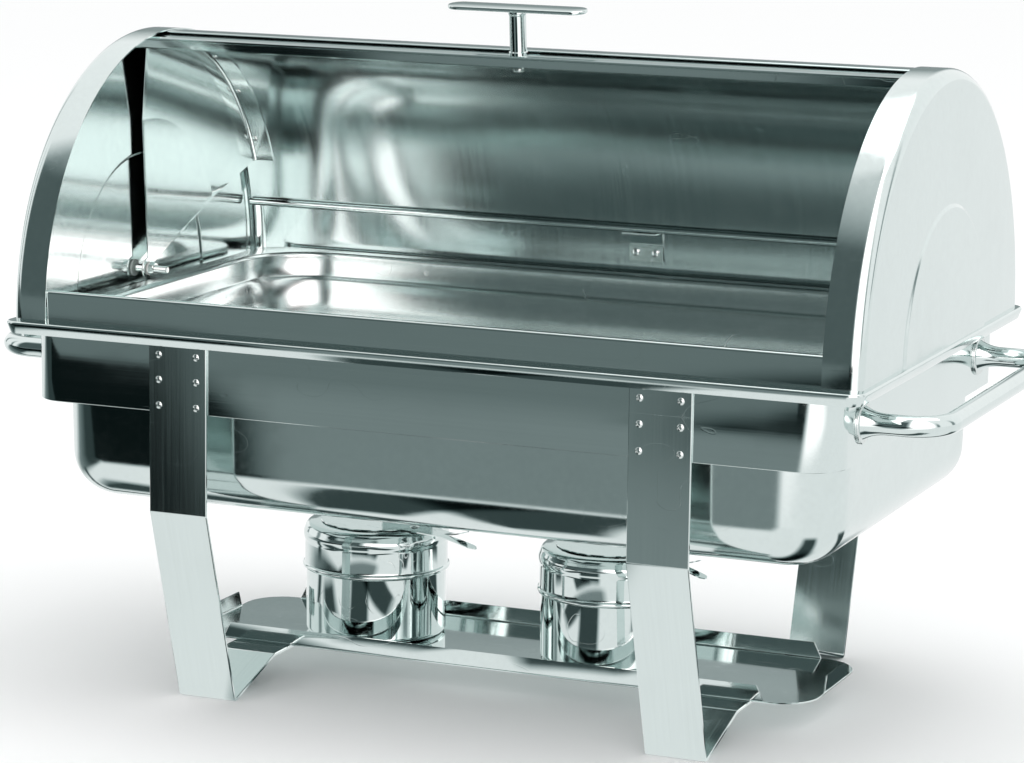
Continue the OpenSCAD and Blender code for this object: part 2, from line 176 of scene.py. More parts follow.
def outline(hx: np.ndarray, hy: np.ndarray, r: np.ndarray, corner: int, sx: int, sy: int) -> np.ndarray:
    """Rounded rectangles, one for each row.

    Each corner is a quarter circle of radius r about (hx - r, hy - r), and the straight sides
    between them are evenly divided.

    Args:
        hx, hy: half lengths, one for each row.
        r: corner radii, one for each row.
        corner: segments in each corner.
        sx, sy: divisions of the sides along X and along Y.

    Returns:
        Array (rows, points, 2), anticlockwise.
    """
    a = np.radians(np.linspace(0, 90, corner + 1))
    rows = []
    for k in range(4):
        flip_x, flip_y = (1, -1, -1, 1)[k], (1, 1, -1, -1)[k]
        angle = a + math.radians(90 * k)
        cx, cy = flip_x * (hx - r), flip_y * (hy - r)
        rows.append(np.stack([cx[:, None] + r[:, None] * np.cos(angle),
                              cy[:, None] + r[:, None] * np.sin(angle)], -1))
    out = []
    for k in range(4):
        here, after = rows[k], rows[(k + 1) % 4]
        f = np.linspace(0, 1, (sx if k % 2 == 0 else sy) + 1)[1:-1]
        side = here[:, -1:] * (1 - f)[:, None] + after[:, :1] * f[:, None]
        out += [here, side]
    return np.concatenate(out, 1)


def carried(hx: np.ndarray, hy: np.ndarray, r: np.ndarray, z: np.ndarray, counts: tuple) -> np.ndarray:
    """A section carried round a rounded rectangle.

    Args:
        hx, hy, r, z: half lengths, corner radius and height of each row.
        counts: steps at each corner and along the X and Y sides.

    Returns:
        The grid of points, one row for each point of the section.
    """
    xy = outline(hx, hy, r, *counts)
    return np.concatenate([xy, np.broadcast_to(z[:, None, None], (*xy.shape[:2], 1))], -1)


class Solid:
    """Vertices and faces that grow by whole arrays, then become one Blender mesh."""

    def __init__(self) -> None:
        """Starts empty."""
        self.points: list[np.ndarray] = []
        self.faces: list = []
        self.count = 0

    def add(self, points: np.ndarray, faces: list) -> "Solid":
        """Adds vertices, and faces that number them from zero."""
        self.points.append(points.reshape(-1, 3))
        self.faces += [tuple(i + self.count for i in f) for f in faces]
        self.count += len(self.points[-1])
        return self

    def grid(self, p: np.ndarray, wrap_u: bool = False, wrap_v: bool = False,
             cap_u: bool = False) -> "Solid":
        """Adds a quad grid.

        Args:
            p: array (u, v, 3).
            wrap_u, wrap_v: join the last row or column to the first.
            cap_u: close the first and last row with a flat face each; each row is then a loop.
        """
        nu, nv = p.shape[:2]
        index = np.arange(nu * nv).reshape(nu, nv)
        iu = np.arange(nu if wrap_u else nu - 1)
        iv = np.arange(nv if wrap_v else nv - 1)
        u, v = np.meshgrid(iu, iv, indexing="ij")
        u1, v1 = (u + 1) % nu, (v + 1) % nv
        quads = np.stack([index[u, v], index[u1, v], index[u1, v1], index[u, v1]], -1).reshape(-1, 4)
        faces = quads.tolist()
        if cap_u:
            faces += [index[0].tolist(), index[-1][::-1].tolist()]
        return self.add(p, faces)

    def strip_caps(self, p: np.ndarray) -> "Solid":
        """Adds a grid of thickened loops and closes both ends with quads across the sheet.

        Each row of p is a loop from thicken(): its first half runs along one face of the sheet,
        and its second half back along the other.
        """
        nu, nv = p.shape[:2]
        base = self.count
        self.grid(p, wrap_v=True)
        j = np.arange(nv // 2 - 1)
        first = np.stack([j, j + 1, nv - 2 - j, nv - 1 - j], -1) + base
        last = first[:, ::-1] + (nu - 1) * nv
        self.faces += [tuple(f) for f in first.tolist()] + [tuple(f) for f in last.tolist()]
        return self

    def mesh(self, name: str, smooth: float = 32.0) -> bpy.types.Mesh:
        """The mesh, with doubles merged, normals outwards and sharp edges past an angle."""
        data = bpy.data.meshes.new(name)
        data.from_pydata(np.concatenate(self.points).tolist(), [], self.faces)
        bm = bmesh.new()
        bm.from_mesh(data)
        bmesh.ops.remove_doubles(bm, verts=bm.verts, dist=2e-6)
        bmesh.ops.dissolve_degenerate(bm, edges=bm.edges, dist=1e-6)
        bmesh.ops.recalc_face_normals(bm, faces=bm.faces)
        bm.to_mesh(data)
        bm.free()
        data.shade_smooth()
        data.set_sharp_from_angle(angle=math.radians(smooth))
        return data


def lathe(profile: np.ndarray, n: int, a0: float = 0.0, a1: float = 360.0) -> np.ndarray:
    """A surface of revolution about Z.

    Each profile point (radius, height) goes to (radius cos a, radius sin a, height) for the angles
    a from a0 to a1 degrees; a full turn leaves out the last column.

    Returns:
        Array (profile points, angles, 3).
    """
    full = abs(a1 - a0 - 360) < 1e-9
    a = np.radians(np.linspace(a0, a1, n + (0 if full else 1), endpoint=not full))
    r, h = profile[:, 0][:, None], profile[:, 1][:, None]
    return np.stack([r * np.cos(a), r * np.sin(a), h + 0 * a], -1)


def tube(path: np.ndarray, radius: np.ndarray, up: np.ndarray, n: int = 32) -> np.ndarray:
    """Circles carried along a path that lies square to up.

    Each circle is centred on a path point and lies across the path's tangent: its points are the
    centre plus radius times (cos a * side + sin a * up), where side is tangent x up.

    Returns:
        Array (path points, n, 3).
    """
    t = np.gradient(path, axis=0)
    t /= np.linalg.norm(t, axis=1)[:, None]
    side = np.cross(t, up)
    a = np.linspace(0, 2 * math.pi, n, endpoint=False)
    ring = np.cos(a)[None, :, None] * side[:, None] + np.sin(a)[None, :, None] * up
    return path[:, None] + radius[:, None, None] * ring


def placed(p: np.ndarray, origin: tuple, z_axis: tuple, x_axis: tuple = (1, 0, 0)) -> np.ndarray:
    """Points given in a local frame, moved to origin with its Z along z_axis."""
    z = np.asarray(z_axis, float)
    z /= np.linalg.norm(z)
    x = np.asarray(x_axis, float)
    if abs(x @ z) > 0.99:
        x = np.array([0.0, 1.0, 0.0])
    x = x - (x @ z) * z
    x /= np.linalg.norm(x)
    return p @ np.stack([x, np.cross(z, x), z]) + np.asarray(origin, float)


def extrude_sheet(line: np.ndarray, t: float, x0: float, x1: float, bevel: float = 0.25 * MM,
                  spans: int = 1) -> np.ndarray:
    """A bent sheet strip whose section lies in (y, z) and runs along X.

    The strip is the thickened section at full thickness, with a thinner one at each end, which
    bevels the cut edges.

    Returns:
        Array (rows along X, loop points, 3).
    """
    thin, full = thicken(line, t - 2 * bevel), thicken(line, t)
    inner = np.linspace(x0 + bevel, x1 - bevel, spans + 1)
    xs = [x0, *inner, x1]
    loops = [thin] + [full] * (spans + 1) + [thin]
    return np.stack([np.column_stack([np.full(len(loop), x), loop]) for x, loop in zip(xs, loops)])


# ---------------------------------------------------------------------------------------
# Materials
# ---------------------------------------------------------------------------------------


class Graph:
    """A small wrapper that makes and links shader nodes."""

    def __init__(self, tree: bpy.types.NodeTree) -> None:
        """Wraps a node tree."""
        self.tree = tree

    def add(self, kind: str, **values) -> bpy.types.Node:
        """Makes a node and sets its attributes."""
        node = self.tree.nodes.new(kind)
        for key, value in values.items():
            setattr(node, key, value)
        return node

    def link(self, a: bpy.types.NodeSocket, b: bpy.types.NodeSocket) -> None:
        """Joins an output to an input."""
        self.tree.links.new(a, b)

    def math(self, operation: str, a: object, b: object = 0.0, clamp: bool = False) -> bpy.types.NodeSocket:
        """A Math node on two numbers or sockets."""
        node = self.add("ShaderNodeMath", operation=operation, use_clamp=clamp)
        for i, value in enumerate((a, b)):
            if isinstance(value, bpy.types.NodeSocket):
                self.link(value, node.inputs[i])
            else:
                node.inputs[i].default_value = value
        return node.outputs[0]

    def ramp(self, value: bpy.types.NodeSocket, low: float, high: float, out_low: float,
             out_high: float) -> bpy.types.NodeSocket:
        """A clamped Map Range."""
        node = self.add("ShaderNodeMapRange")
        self.link(value, node.inputs["Value"])
        names = ("From Min", "From Max", "To Min", "To Max")
        for key, number in zip(names, (low, high, out_low, out_high)):
            node.inputs[key].default_value = number
        return node.outputs["Result"]


def effect(name: str, inputs: dict, outputs: tuple) -> tuple:
    """A new shader node group with named sockets.

    Returns:
        The group, its graph, its input node and its output node.
    """
    group = bpy.data.node_groups.new(name, "ShaderNodeTree")
    for key, value in inputs.items():
        kind = "NodeSocketVector" if isinstance(value, tuple) else "NodeSocketFloat"
        socket = group.interface.new_socket(key, in_out="INPUT", socket_type=kind)
        socket.default_value = value
    for key in outputs:
        group.interface.new_socket(key, in_out="OUTPUT", socket_type="NodeSocketFloat")
    g = Graph(group)
    return group, g, g.add("NodeGroupInput"), g.add("NodeGroupOutput")


def stretched_noise(g: Graph, stretch: bpy.types.NodeSocket, detail: float,
                    seed: tuple = (0, 0, 0)) -> bpy.types.NodeSocket:
    """Noise on object coordinates multiplied by a stretch vector."""
    coord = g.add("ShaderNodeTexCoord")
    shift = g.add("ShaderNodeVectorMath", operation="ADD")
    shift.inputs[1].default_value = seed
    g.link(coord.outputs["Object"], shift.inputs[0])
    scale = g.add("ShaderNodeVectorMath", operation="MULTIPLY")
    g.link(shift.outputs[0], scale.inputs[0])
    g.link(stretch, scale.inputs[1])
    noise = g.add("ShaderNodeTexNoise")
    noise.inputs["Scale"].default_value = 1.0
    noise.inputs["Detail"].default_value = detail
    noise.inputs["Roughness"].default_value = 0.55
    g.link(scale.outputs[0], noise.inputs["Vector"])
    return noise.outputs["Fac"]


def grain_group() -> bpy.types.NodeTree:
    """Brushed grain: two layers of noise drawn out along one axis by the stretch vector."""
    group, g, source, sink = effect("brushed_grain", {"Stretch": (6.0, 900.0, 900.0)}, ("Grain",))
    fine = stretched_noise(g, source.outputs["Stretch"], 2.0)
    half = g.add("ShaderNodeVectorMath", operation="SCALE")
    half.inputs["Scale"].default_value = 0.31
    g.link(source.outputs["Stretch"], half.inputs[0])
    coarse = stretched_noise(g, half.outputs[0], 2.0, (0.37, 0.11, 0.73))
    total = g.math("ADD", g.math("MULTIPLY", fine, 0.65), g.math("MULTIPLY", coarse, 0.35))
    g.link(total, sink.inputs["Grain"])
    return group


def smudge_group() -> bpy.types.NodeTree:
    """Finger marks and dried wiping: a broad cloud cut by a finer one."""
    group, g, source, sink = effect("wiping_smudges", {"Scale": 14.0}, ("Smudge",))
    spread = g.add("ShaderNodeCombineXYZ")
    for axis in "XYZ":
        g.link(source.outputs["Scale"], spread.inputs[axis])
    cloud = g.ramp(stretched_noise(g, spread.outputs[0], 3.0), 0.46, 0.68, 0.0, 1.0)
    finer = g.add("ShaderNodeVectorMath", operation="SCALE")
    finer.inputs["Scale"].default_value = 4.3
    g.link(spread.outputs[0], finer.inputs[0])
    streak = g.ramp(stretched_noise(g, finer.outputs[0], 2.0, (3.1, 1.7, 0.4)), 0.35, 0.65, 0.35, 1.0)
    g.link(g.math("MULTIPLY", cloud, streak), sink.inputs["Smudge"])
    return group


def wave_group() -> bpy.types.NodeTree:
    """The slow unevenness of pressed sheet, which bends its reflections."""
    group, g, source, sink = effect("sheet_waves", {"Stretch": (9.0, 9.0, 9.0)}, ("Height",))
    g.link(stretched_noise(g, source.outputs["Stretch"], 0.0, (0.9, 0.2, 0.5)), sink.inputs["Height"])
    return group


def scratch_group() -> bpy.types.NodeTree:
    """Sparse hairline scratches: thin bands where drawn-out noise crosses its middle value."""
    group, g, source, sink = effect("hairline_scratches", {"Stretch": (35.0, 160.0, 60.0)}, ("Scratch",))
    raw = stretched_noise(g, source.outputs["Stretch"], 0.0, (5.3, 2.2, 7.7))
    line = g.ramp(g.math("ABSOLUTE", g.math("SUBTRACT", raw, 0.5)), 0.0, 0.006, 1.0, 0.0)
    spread = g.add("ShaderNodeVectorMath", operation="SCALE")
    spread.inputs["Scale"].default_value = 0.35
    g.link(source.outputs["Stretch"], spread.inputs[0])
    where = g.ramp(stretched_noise(g, spread.outputs[0], 1.0, (1.1, 8.2, 4.4)), 0.56, 0.66, 0.0, 1.0)
    g.link(g.math("MULTIPLY", line, where), sink.inputs["Scratch"])
    return group


@dataclass(frozen=True)
class Steel:
    """A stainless finish.

    Fields give the tint, the roughness of clean metal and how much smudges add, the stretch and
    depth of the grain, the stretch and depth of the sheet's waves, how much the grain and the
    scratches roughen it, and how dark the grain's valleys are. Depths are in metres.
    """

    name: str
    tint: tuple
    rough: float
    smudge_rough: float
    grain: tuple
    grain_depth: float
    waves: tuple = (9.0, 9.0, 9.0)
    wave_depth: float = 0.0
    grain_rough: float = 0.06
    scratch_depth: float = 0.00002
    scratch_rough: float = 0.12
    shade: float = 0.94

    def build(self, groups: dict) -> bpy.types.Material:
        """Makes the material."""
        material = bpy.data.materials.new(self.name)
        material.use_nodes = True
        g = Graph(material.node_tree)
        material.node_tree.nodes.clear()
        out = g.add("ShaderNodeOutputMaterial")
        shader = g.add("ShaderNodeBsdfPrincipled")
        shader.inputs["Metallic"].default_value = 1.0
        g.link(shader.outputs[0], out.inputs["Surface"])
        made = {key: self._group(g, tree) for key, tree in groups.items()}
        made["grain"].inputs["Stretch"].default_value = self.grain
        made["waves"].inputs["Stretch"].default_value = self.waves
        grain, smudge = made["grain"].outputs[0], made["smudge"].outputs[0]
        scratch, wave = made["scratch"].outputs[0], made["waves"].outputs[0]
        self._colour(g, shader, grain, smudge)
        rough = g.math("ADD", g.ramp(grain, 0.3, 0.7, self.rough - self.grain_rough / 2,
                                     self.rough + self.grain_rough / 2),
                       g.math("MULTIPLY", smudge, self.smudge_rough))
        rough = g.math("ADD", rough, g.math("MULTIPLY", scratch, self.scratch_rough), clamp=True)
        g.link(rough, shader.inputs["Roughness"])
        height = g.math("ADD", g.math("MULTIPLY", grain, self.grain_depth),
                        g.math("MULTIPLY", wave, self.wave_depth))
        height = g.math("SUBTRACT", height, g.math("MULTIPLY", scratch, self.scratch_depth))
        bump = g.add("ShaderNodeBump")
        bump.inputs["Distance"].default_value = 1.0
        g.link(height, bump.inputs["Height"])
        g.link(bump.outputs[0], shader.inputs["Normal"])
        return material

    def _group(self, g: Graph, tree: bpy.types.NodeTree) -> bpy.types.Node:
        """Places one shared effect in the material."""
        node = g.add("ShaderNodeGroup")
        node.node_tree = tree
        return node

    def _colour(self, g: Graph, shader: bpy.types.Node, grain: bpy.types.NodeSocket,
                smudge: bpy.types.NodeSocket) -> None:
        """Darkens the tint a little in the grain's valleys and under smudges."""
        mix = g.add("ShaderNodeMix", data_type="RGBA")
        mix.inputs["A"].default_value = (*[c * self.shade for c in self.tint], 1.0)
        mix.inputs["B"].default_value = (*self.tint, 1.0)
        clean = g.math("SUBTRACT", g.ramp(grain, 0.3, 0.7, 0.25, 1.0), g.math("MULTIPLY", smudge, 0.3),
                       clamp=True)
        g.link(clean, mix.inputs["Factor"])
        g.link(mix.outputs["Result"], shader.inputs["Base Color"])


@dataclass(frozen=True)
class Nylon:
    """White nylon of the pivot bushes, faintly mottled."""

    name: str = "white_nylon"

    def build(self, groups: dict) -> bpy.types.Material:
        """Makes the material."""
        material = bpy.data.materials.new(self.name)
        material.use_nodes = True
        g = Graph(material.node_tree)
        shader = material.node_tree.nodes["Principled BSDF"]
        group = g.add("ShaderNodeGroup")
        group.node_tree = groups["smudge"]
        mix = g.add("ShaderNodeMix", data_type="RGBA")
        mix.inputs["A"].default_value = (0.80, 0.82, 0.80, 1.0)
        mix.inputs["B"].default_value = (0.66, 0.68, 0.65, 1.0)
        g.link(group.outputs[0], mix.inputs["Factor"])
        g.link(mix.outputs["Result"], shader.inputs["Base Color"])
        g.link(g.ramp(group.outputs[0], 0.0, 1.0, 0.38, 0.55), shader.inputs["Roughness"])
        return material


class Grain(Enum):
    """Direction of the brushed grain, as the stretch of its noise along X, Y and Z."""

    ALONG_X = (5.0, 1100.0, 1100.0)
    UPRIGHT = (1100.0, 14.0, 14.0)
    NONE = (260.0, 260.0, 260.0)


STEEL = (0.69, 0.77, 0.76)
COVER_STEEL = (0.53, 0.61, 0.605)
PAN_STEEL = (0.77, 0.845, 0.835)
SCREW_STEEL = (0.70, 0.76, 0.75)
FINISHES = (
    Steel("satin_band", STEEL, rough=0.085, smudge_rough=0.05, grain=Grain.ALONG_X.value,
          grain_depth=2.0e-6, waves=(4.0, 6.0, 12.0), wave_depth=0.0002),
    Steel("satin_leg", STEEL, rough=0.13, smudge_rough=0.05, grain=Grain.UPRIGHT.value,
          grain_depth=2.0e-6, waves=(16.0, 8.0, 14.0), wave_depth=0.00015),
    Steel("hood_sheet", COVER_STEEL, rough=0.12, smudge_rough=0.05, grain=Grain.UPRIGHT.value,
          grain_depth=2.0e-6, waves=(4.0, 5.0, 5.0), wave_depth=0.0003, scratch_depth=4.0e-6),
    Steel("hood_ends", STEEL, rough=0.10, smudge_rough=0.05, grain=Grain.NONE.value,
          grain_depth=1.0e-6, waves=(5.0, 8.0, 14.0), wave_depth=0.0005, scratch_depth=4.0e-6),
    Steel("polished", STEEL, rough=0.06, smudge_rough=0.04, grain=Grain.NONE.value,
          grain_depth=1.0e-6, waves=(16.0, 16.0, 16.0), wave_depth=0.00015, grain_rough=0.02),
    Steel("drawn_pan", STEEL, rough=0.09, smudge_rough=0.06, grain=Grain.NONE.value,
          grain_depth=1.5e-6, waves=(6.0, 6.0, 12.0), wave_depth=0.0004, scratch_depth=6.0e-6),
    Steel("food_pan", PAN_STEEL, rough=0.20, smudge_rough=0.04, grain=Grain.NONE.value,
          grain_depth=3.0e-7, waves=(6.0, 6.0, 12.0), wave_depth=0.0003, grain_rough=0.02,
          scratch_depth=1.0e-6),
    Steel("burner_shell", STEEL, rough=0.045, smudge_rough=0.04, grain=Grain.NONE.value,
          grain_depth=1.0e-6, waves=(45.0, 45.0, 6.0), wave_depth=0.00018, grain_rough=0.02),
    Steel("tray_sheet", STEEL, rough=0.07, smudge_rough=0.05, grain=Grain.NONE.value,
          grain_depth=1.5e-6, waves=(7.0, 14.0, 14.0), wave_depth=0.0004, grain_rough=0.03),
    Steel("fastener", SCREW_STEEL, rough=0.18, smudge_rough=0.10, grain=Grain.NONE.value,
          grain_depth=4.0e-6),
)


# ---------------------------------------------------------------------------------------
# Workshop: turns solids into pieces of the frame
# ---------------------------------------------------------------------------------------


class Workshop:
    """Holds the materials and adds finished pieces to the scene."""

    def __init__(self) -> None:
        """Makes the shared effects and every finish."""
        groups = {"grain": grain_group(), "smudge": smudge_group(), "waves": wave_group(),
                  "scratch": scratch_group()}
        self.materials = {f.name: f.build(groups) for f in (*FINISHES, Nylon())}
        self.slots = {s["node"]: s["material_slot"] for s in frame["record"]["subparts"]}

    def piece(self, name: str, solid: Solid, body: str, finish: str, *nodes: str,
              smooth: float = 32.0) -> bpy.types.Object:
        """Adds one piece that rides on a body and stands for CAD nodes.

        Args:
            name: the piece's name.
            solid: its surface.
            body: the CAD body that it moves with.
            finish: the name of its finish.
            nodes: the CAD nodes that it replaces.
            smooth: edges that turn by more than this angle, in degrees, are sharp.

        Returns:
            The new object.
        """
        mesh = solid.mesh(name, smooth)
        mesh.materials.append(self.materials[finish])
        piece = bpy.data.objects.new(name, mesh)
        bpy.context.scene.collection.objects.link(piece)
        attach(piece, body)
        if nodes:
            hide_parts(*nodes)
        log.info("%s: %d faces on %s, %s", name, len(mesh.polygons), body, finish)
        return piece


# ---------------------------------------------------------------------------------------
# Small turned parts
# ---------------------------------------------------------------------------------------


def rivet_profile(r: float, h: float, dimple: float) -> np.ndarray:
    """A low domed head with a hollow middle, closed at its base."""
    dome = arc(0, 0, 1, 0, 90, 6) * (r, h)
    rim = [p for p in dome if p[0] > dimple]
    return np.array([(0, 0), (r, 0), *rim, (dimple, h * 0.95), (dimple * 0.8, h * 0.35), (0, h * 0.3)])


def screw_profile(r: float, h: float) -> np.ndarray:
    """A pan head: straight side, then a quarter of an ellipse to the middle."""
    crown = arc(0, 0, 1, 0, 90, 8) * (r, h * 0.6) + (0, h * 0.4)
    return np.vstack([[(0, 0), (r, 0)], crown])


def hexagon_rows(flat: float, h: float, bore: float) -> np.ndarray:
    """A chamfered hexagon nut: rows of six-sided rings from the bore's foot round to its mouth.

    The chamfer is where the hexagon's radius is cut down to the circle inside it.
    """
    n = 48
    a = np.linspace(0, 2 * math.pi, n, endpoint=False)
    hexagon = flat / 2 / np.cos((a + math.pi / 6) % (math.pi / 3) - math.pi / 6)
    cut = np.minimum(hexagon, flat / 2 * 1.01)
    soft = np.minimum(hexagon, flat / 2 * 1.09)
    rows = [(bore, 0), (bore + 0.3 * MM, 0), (cut, 0), (soft, h * 0.07), (hexagon, h * 0.16),
            (hexagon, h * 0.84), (soft, h * 0.93), (cut, h), (bore + 0.3 * MM, h), (bore, h - 0.3 * MM),
            (bore, 0.3 * MM)]
    return np.stack([np.column_stack([r * np.cos(a), r * np.sin(a), np.full(n, z)]) for r, z in rows])


def thread_profile(r: float, length: float, pitch: float, z0: float) -> np.ndarray:
    """A stud: a plain shank, then ring grooves a pitch apart, with a chamfered tip."""
    turns = int((length - z0) / pitch)
    crest = z0 + pitch * np.arange(turns)
    zig = np.stack([np.column_stack([np.full(turns, r - 0.35 * MM), crest]),
                    np.column_stack([np.full(turns, r), crest + pitch / 2])], 1).reshape(-1, 2)
    return np.vstack([[(0, 0), (r, 0), (r, z0 - pitch / 2)], zig,
                      [(r - 0.6 * MM, length), (0, length)]])


# ---------------------------------------------------------------------------------------
# Stand
# ---------------------------------------------------------------------------------------


@dataclass
class Stand:
    """Band, leg strips, tray and handles. Sizes in metres."""

    shop: Workshop
    band_t: float = 1.5 * MM
    band_r: float = 24 * MM
    leg_t: float = 2 * MM
    knee_z: float = 127 * MM
    toe_y: float = 135.4 * MM
    toe_drop: float = 0.55 * MM
    foot_r: float = 6 * MM
    cross_y: float = 80 * MM
    knee_r: float = 5 * MM
    toe_r: float = 2.4 * MM
    rivet_span: float = 12.8 * MM
    rivet_rows: tuple = (194.5 * MM, 210.5 * MM, 226.0 * MM)
    tray_t: float = 1 * MM
    tray_r: float = 26 * MM
    flange_h: float = 10 * MM
    flange_half: float = 186 * MM
    tab_half: float = 22 * MM
    handle_y: float = 124 * MM
    handle_r: float = 6.3 * MM
    bend_r: float = 26 * MM
    flare_l: float = 15 * MM
    socket_r: float = 10 * MM
    washer_t: float = 1.6 * MM
    washer_r: float = 13 * MM
    body: str = field(default="stand", init=False)

    def build(self) -> None:
        """Builds every piece of the stand."""
        self.band()
        for side in Side:
            self.leg(side)
            self.handle(side)
        self.rivets()
        self.tray()
        self.washers()
        self.screws()

    def band(self) -> None:
        """The band: a thin upright section carried round a rounded rectangle."""
        e = Extent.of("stand_band")
        soft = 0.45 * MM
        rows = np.vstack([
            arc(-soft, e.lo[2] + soft, soft, -90, 0, 4), arc(-soft, e.hi[2] - soft, soft, 0, 90, 4),
            arc(soft - self.band_t, e.hi[2] - soft, soft, 90, 180, 4),
            arc(soft - self.band_t, e.lo[2] + soft, soft, 180, 270, 4)])
        grid = carried(e.half[0] + rows[:, 0], e.half[1] + rows[:, 0], self.band_r + rows[:, 0],
                       rows[:, 1], (20, 24, 16))
        self.shop.piece("carrying_band", Solid().grid(grid, True, True), self.body, "satin_band",
                        "stand_band")

    def leg(self, side: Side) -> None:
        """One strip: front leg, toe, cross piece, toe and rear leg, filleted at each bend."""
        node = f"{side.word}_leg_strip"
        e, tray = Extent.of(node), Extent.of("burner_tray")
        half_t = self.leg_t / 2
        leg_y, cross_z = e.hi[1] - half_t, tray.lo[2] - half_t
        half = [(leg_y, e.hi[2]), (leg_y, self.knee_z), (self.toe_y, half_t - self.toe_drop),
                (self.cross_y, cross_z)]
        radii = [0, self.knee_r, self.toe_r, self.foot_r]
        points = [(-y, z) for y, z in half] + [(y, z) for y, z in half[::-1]]
        line = fillet(points, radii + radii[::-1], 8)
        grid = extrude_sheet(line, self.leg_t, e.lo[0], e.hi[0], 0.35 * MM, 6)
        self.shop.piece(f"{side.word}_leg", Solid().strip_caps(grid), self.body, "satin_leg", node)

    def rivets(self) -> None:
        """Hollow rivet heads, six at each leg top, with flat tails inside the band."""
        solid = Solid()
        head = lathe(rivet_profile(2.3 * MM, 0.9 * MM, 1.0 * MM), 20)
        tail = lathe(screw_profile(2.1 * MM, 0.8 * MM), 16)
        band = Extent.of("stand_band")
        for side in Side:
            leg = Extent.of(f"{side.word}_leg_strip")
            for y in (-1, 1):
                for x in (-self.rivet_span, self.rivet_span):
                    for z in self.rivet_rows:
                        out = (leg.mid[0] + x, y * leg.hi[1], z)
                        within = (leg.mid[0] + x, y * (band.hi[1] - self.band_t), z)
                        solid.grid(placed(head, out, (0, y, 0)), wrap_v=True)
                        solid.grid(placed(tail, within, (0, -y, 0)), wrap_v=True)
        self.shop.piece("leg_rivet_heads", solid, self.body, "fastener", "leg_rivets")

    def tray(self) -> None:
        """The tray: a rounded plate with bent-up flanges front and rear and a tab at each end."""
        e = Extent.of("burner_tray")
        top, soft = e.lo[2] + self.tray_t, 0.3 * MM
        rows = np.array([(-self.tray_r, e.lo[2]), (-soft, e.lo[2]), (0, e.lo[2] + soft), (0, top - soft),
                         (-soft, top), (-self.tray_r, top)])
        grid = carried(e.half[0] + rows[:, 0], e.half[1] + rows[:, 0], self.tray_r + rows[:, 0],
                       rows[:, 1], (14, 20, 6))
        solid = Solid().grid(grid, wrap_v=True, cap_u=True)
        for y in (-1, 1):
            solid.strip_caps(self._flange(e, top, y * e.half[1], self.flange_half, 5 * MM, False))
        for x in (-1, 1):
            solid.strip_caps(self._flange(e, top, x * e.half[0], self.tab_half, 4 * MM, True))
        self.shop.piece("fuel_tray", solid, self.body, "tray_sheet", "burner_tray")

    def _flange(self, e: Extent, top: float, edge: float, half: float, slope: float,
                end: bool) -> np.ndarray:
        """One bent-up flange.

        Its section rises from inside the plate through a small bend, and its ends lean in by slope
        over its height, so each section point's reach along the edge falls with its height.
        """
        t, sign = self.tray_t, math.copysign(1, edge)
        y = abs(edge) - t / 2
        line = fillet([(sign * (y - 3.5 * MM), e.lo[2] + t * 0.48), (sign * y, e.lo[2] + t * 0.48),
                       (sign * y, e.hi[2])], [0, 1.6 * MM, 0], 6)
        bevel = 0.25 * MM
        rows = []
        for share, thick in ((-1, t - 2 * bevel), (-1 + bevel / half, t), (0, t), (1 - bevel / half, t),
                             (1, t - 2 * bevel)):
            loop = thicken(line, thick)
            rise = np.clip((loop[:, 1] - top) / self.flange_h, 0, 1)
            along = share * (half - slope * rise)
            rows.append(np.column_stack([loop[:, 0], along, loop[:, 1]] if end
                                        else [along, loop[:, 0], loop[:, 1]]))
        return np.stack(rows)

    def handle(self, side: Side) -> None:
        """A round bar bent twice, flared like a trumpet where it meets the band."""
        node = f"{side.word}_handle"
        e, band = Extent.of(node), Extent.of("stand_band")
        s, z = side.value, e.mid[2]
        x0, x1 = band.hi[0] + self.washer_t, max(abs(e.lo[0]), abs(e.hi[0])) - self.handle_r
        corner = [(x0, -self.handle_y), (x1, -self.handle_y), (x1, self.handle_y), (x0, self.handle_y)]
        line = fillet(corner, [0, self.bend_r, self.bend_r, 0], 18)
        leg = np.linspace(x0, x1 - self.bend_r, 18)[:-1]
        ends = [np.column_stack([leg, np.full(len(leg), q * self.handle_y)]) for q in (-1, 1)]
        bar = np.linspace(line[19], line[20], 14)[1:-1]
        path = np.vstack([ends[0], line[1:20], bar, line[20:-1], ends[1][::-1]])
        flare = self.socket_r - self.handle_r
        reach = np.clip((path[:, 0] - x0) / self.flare_l, 0, 1)
        radius = self.handle_r + flare * (1 - reach) ** 2.4
        path3 = np.column_stack([s * path[:, 0], path[:, 1], np.full(len(path), z)])
        grid = tube(path3, radius, np.array([0.0, 0.0, 1.0]), 36)
        self.shop.piece(f"{side.word}_carry_handle", Solid().grid(grid, wrap_v=True, cap_u=True),
                        self.body, "polished", node, smooth=40)

    def _each_socket(self) -> list:
        """Places and directions of the four handle ends on the band."""
        band, z = Extent.of("stand_band"), Extent.of("left_handle").mid[2]
        return [((s * band.hi[0], y * self.handle_y, z), (s, 0, 0)) for s in (-1, 1) for y in (-1, 1)]

    def washers(self) -> None:
        """Dished washers: a ring whose outer edge curls back to the band."""
        t, r = self.washer_t, self.washer_r
        curl = arc(r - 1 * MM, 0.9 * MM, 0.9 * MM, -40, 80, 5)
        profile = np.vstack([[(3 * MM, 0), (r - 0.2 * MM, 0)], curl, [(r - 4 * MM, t * 0.98), (3 * MM, t)]])
        solid = Solid()
        for place, axis in self._each_socket():
            solid.grid(placed(lathe(profile, 40), place, axis), wrap_u=True, wrap_v=True)
        self.shop.piece("handle_rosettes", solid, self.body, "fastener", "handle_washers")

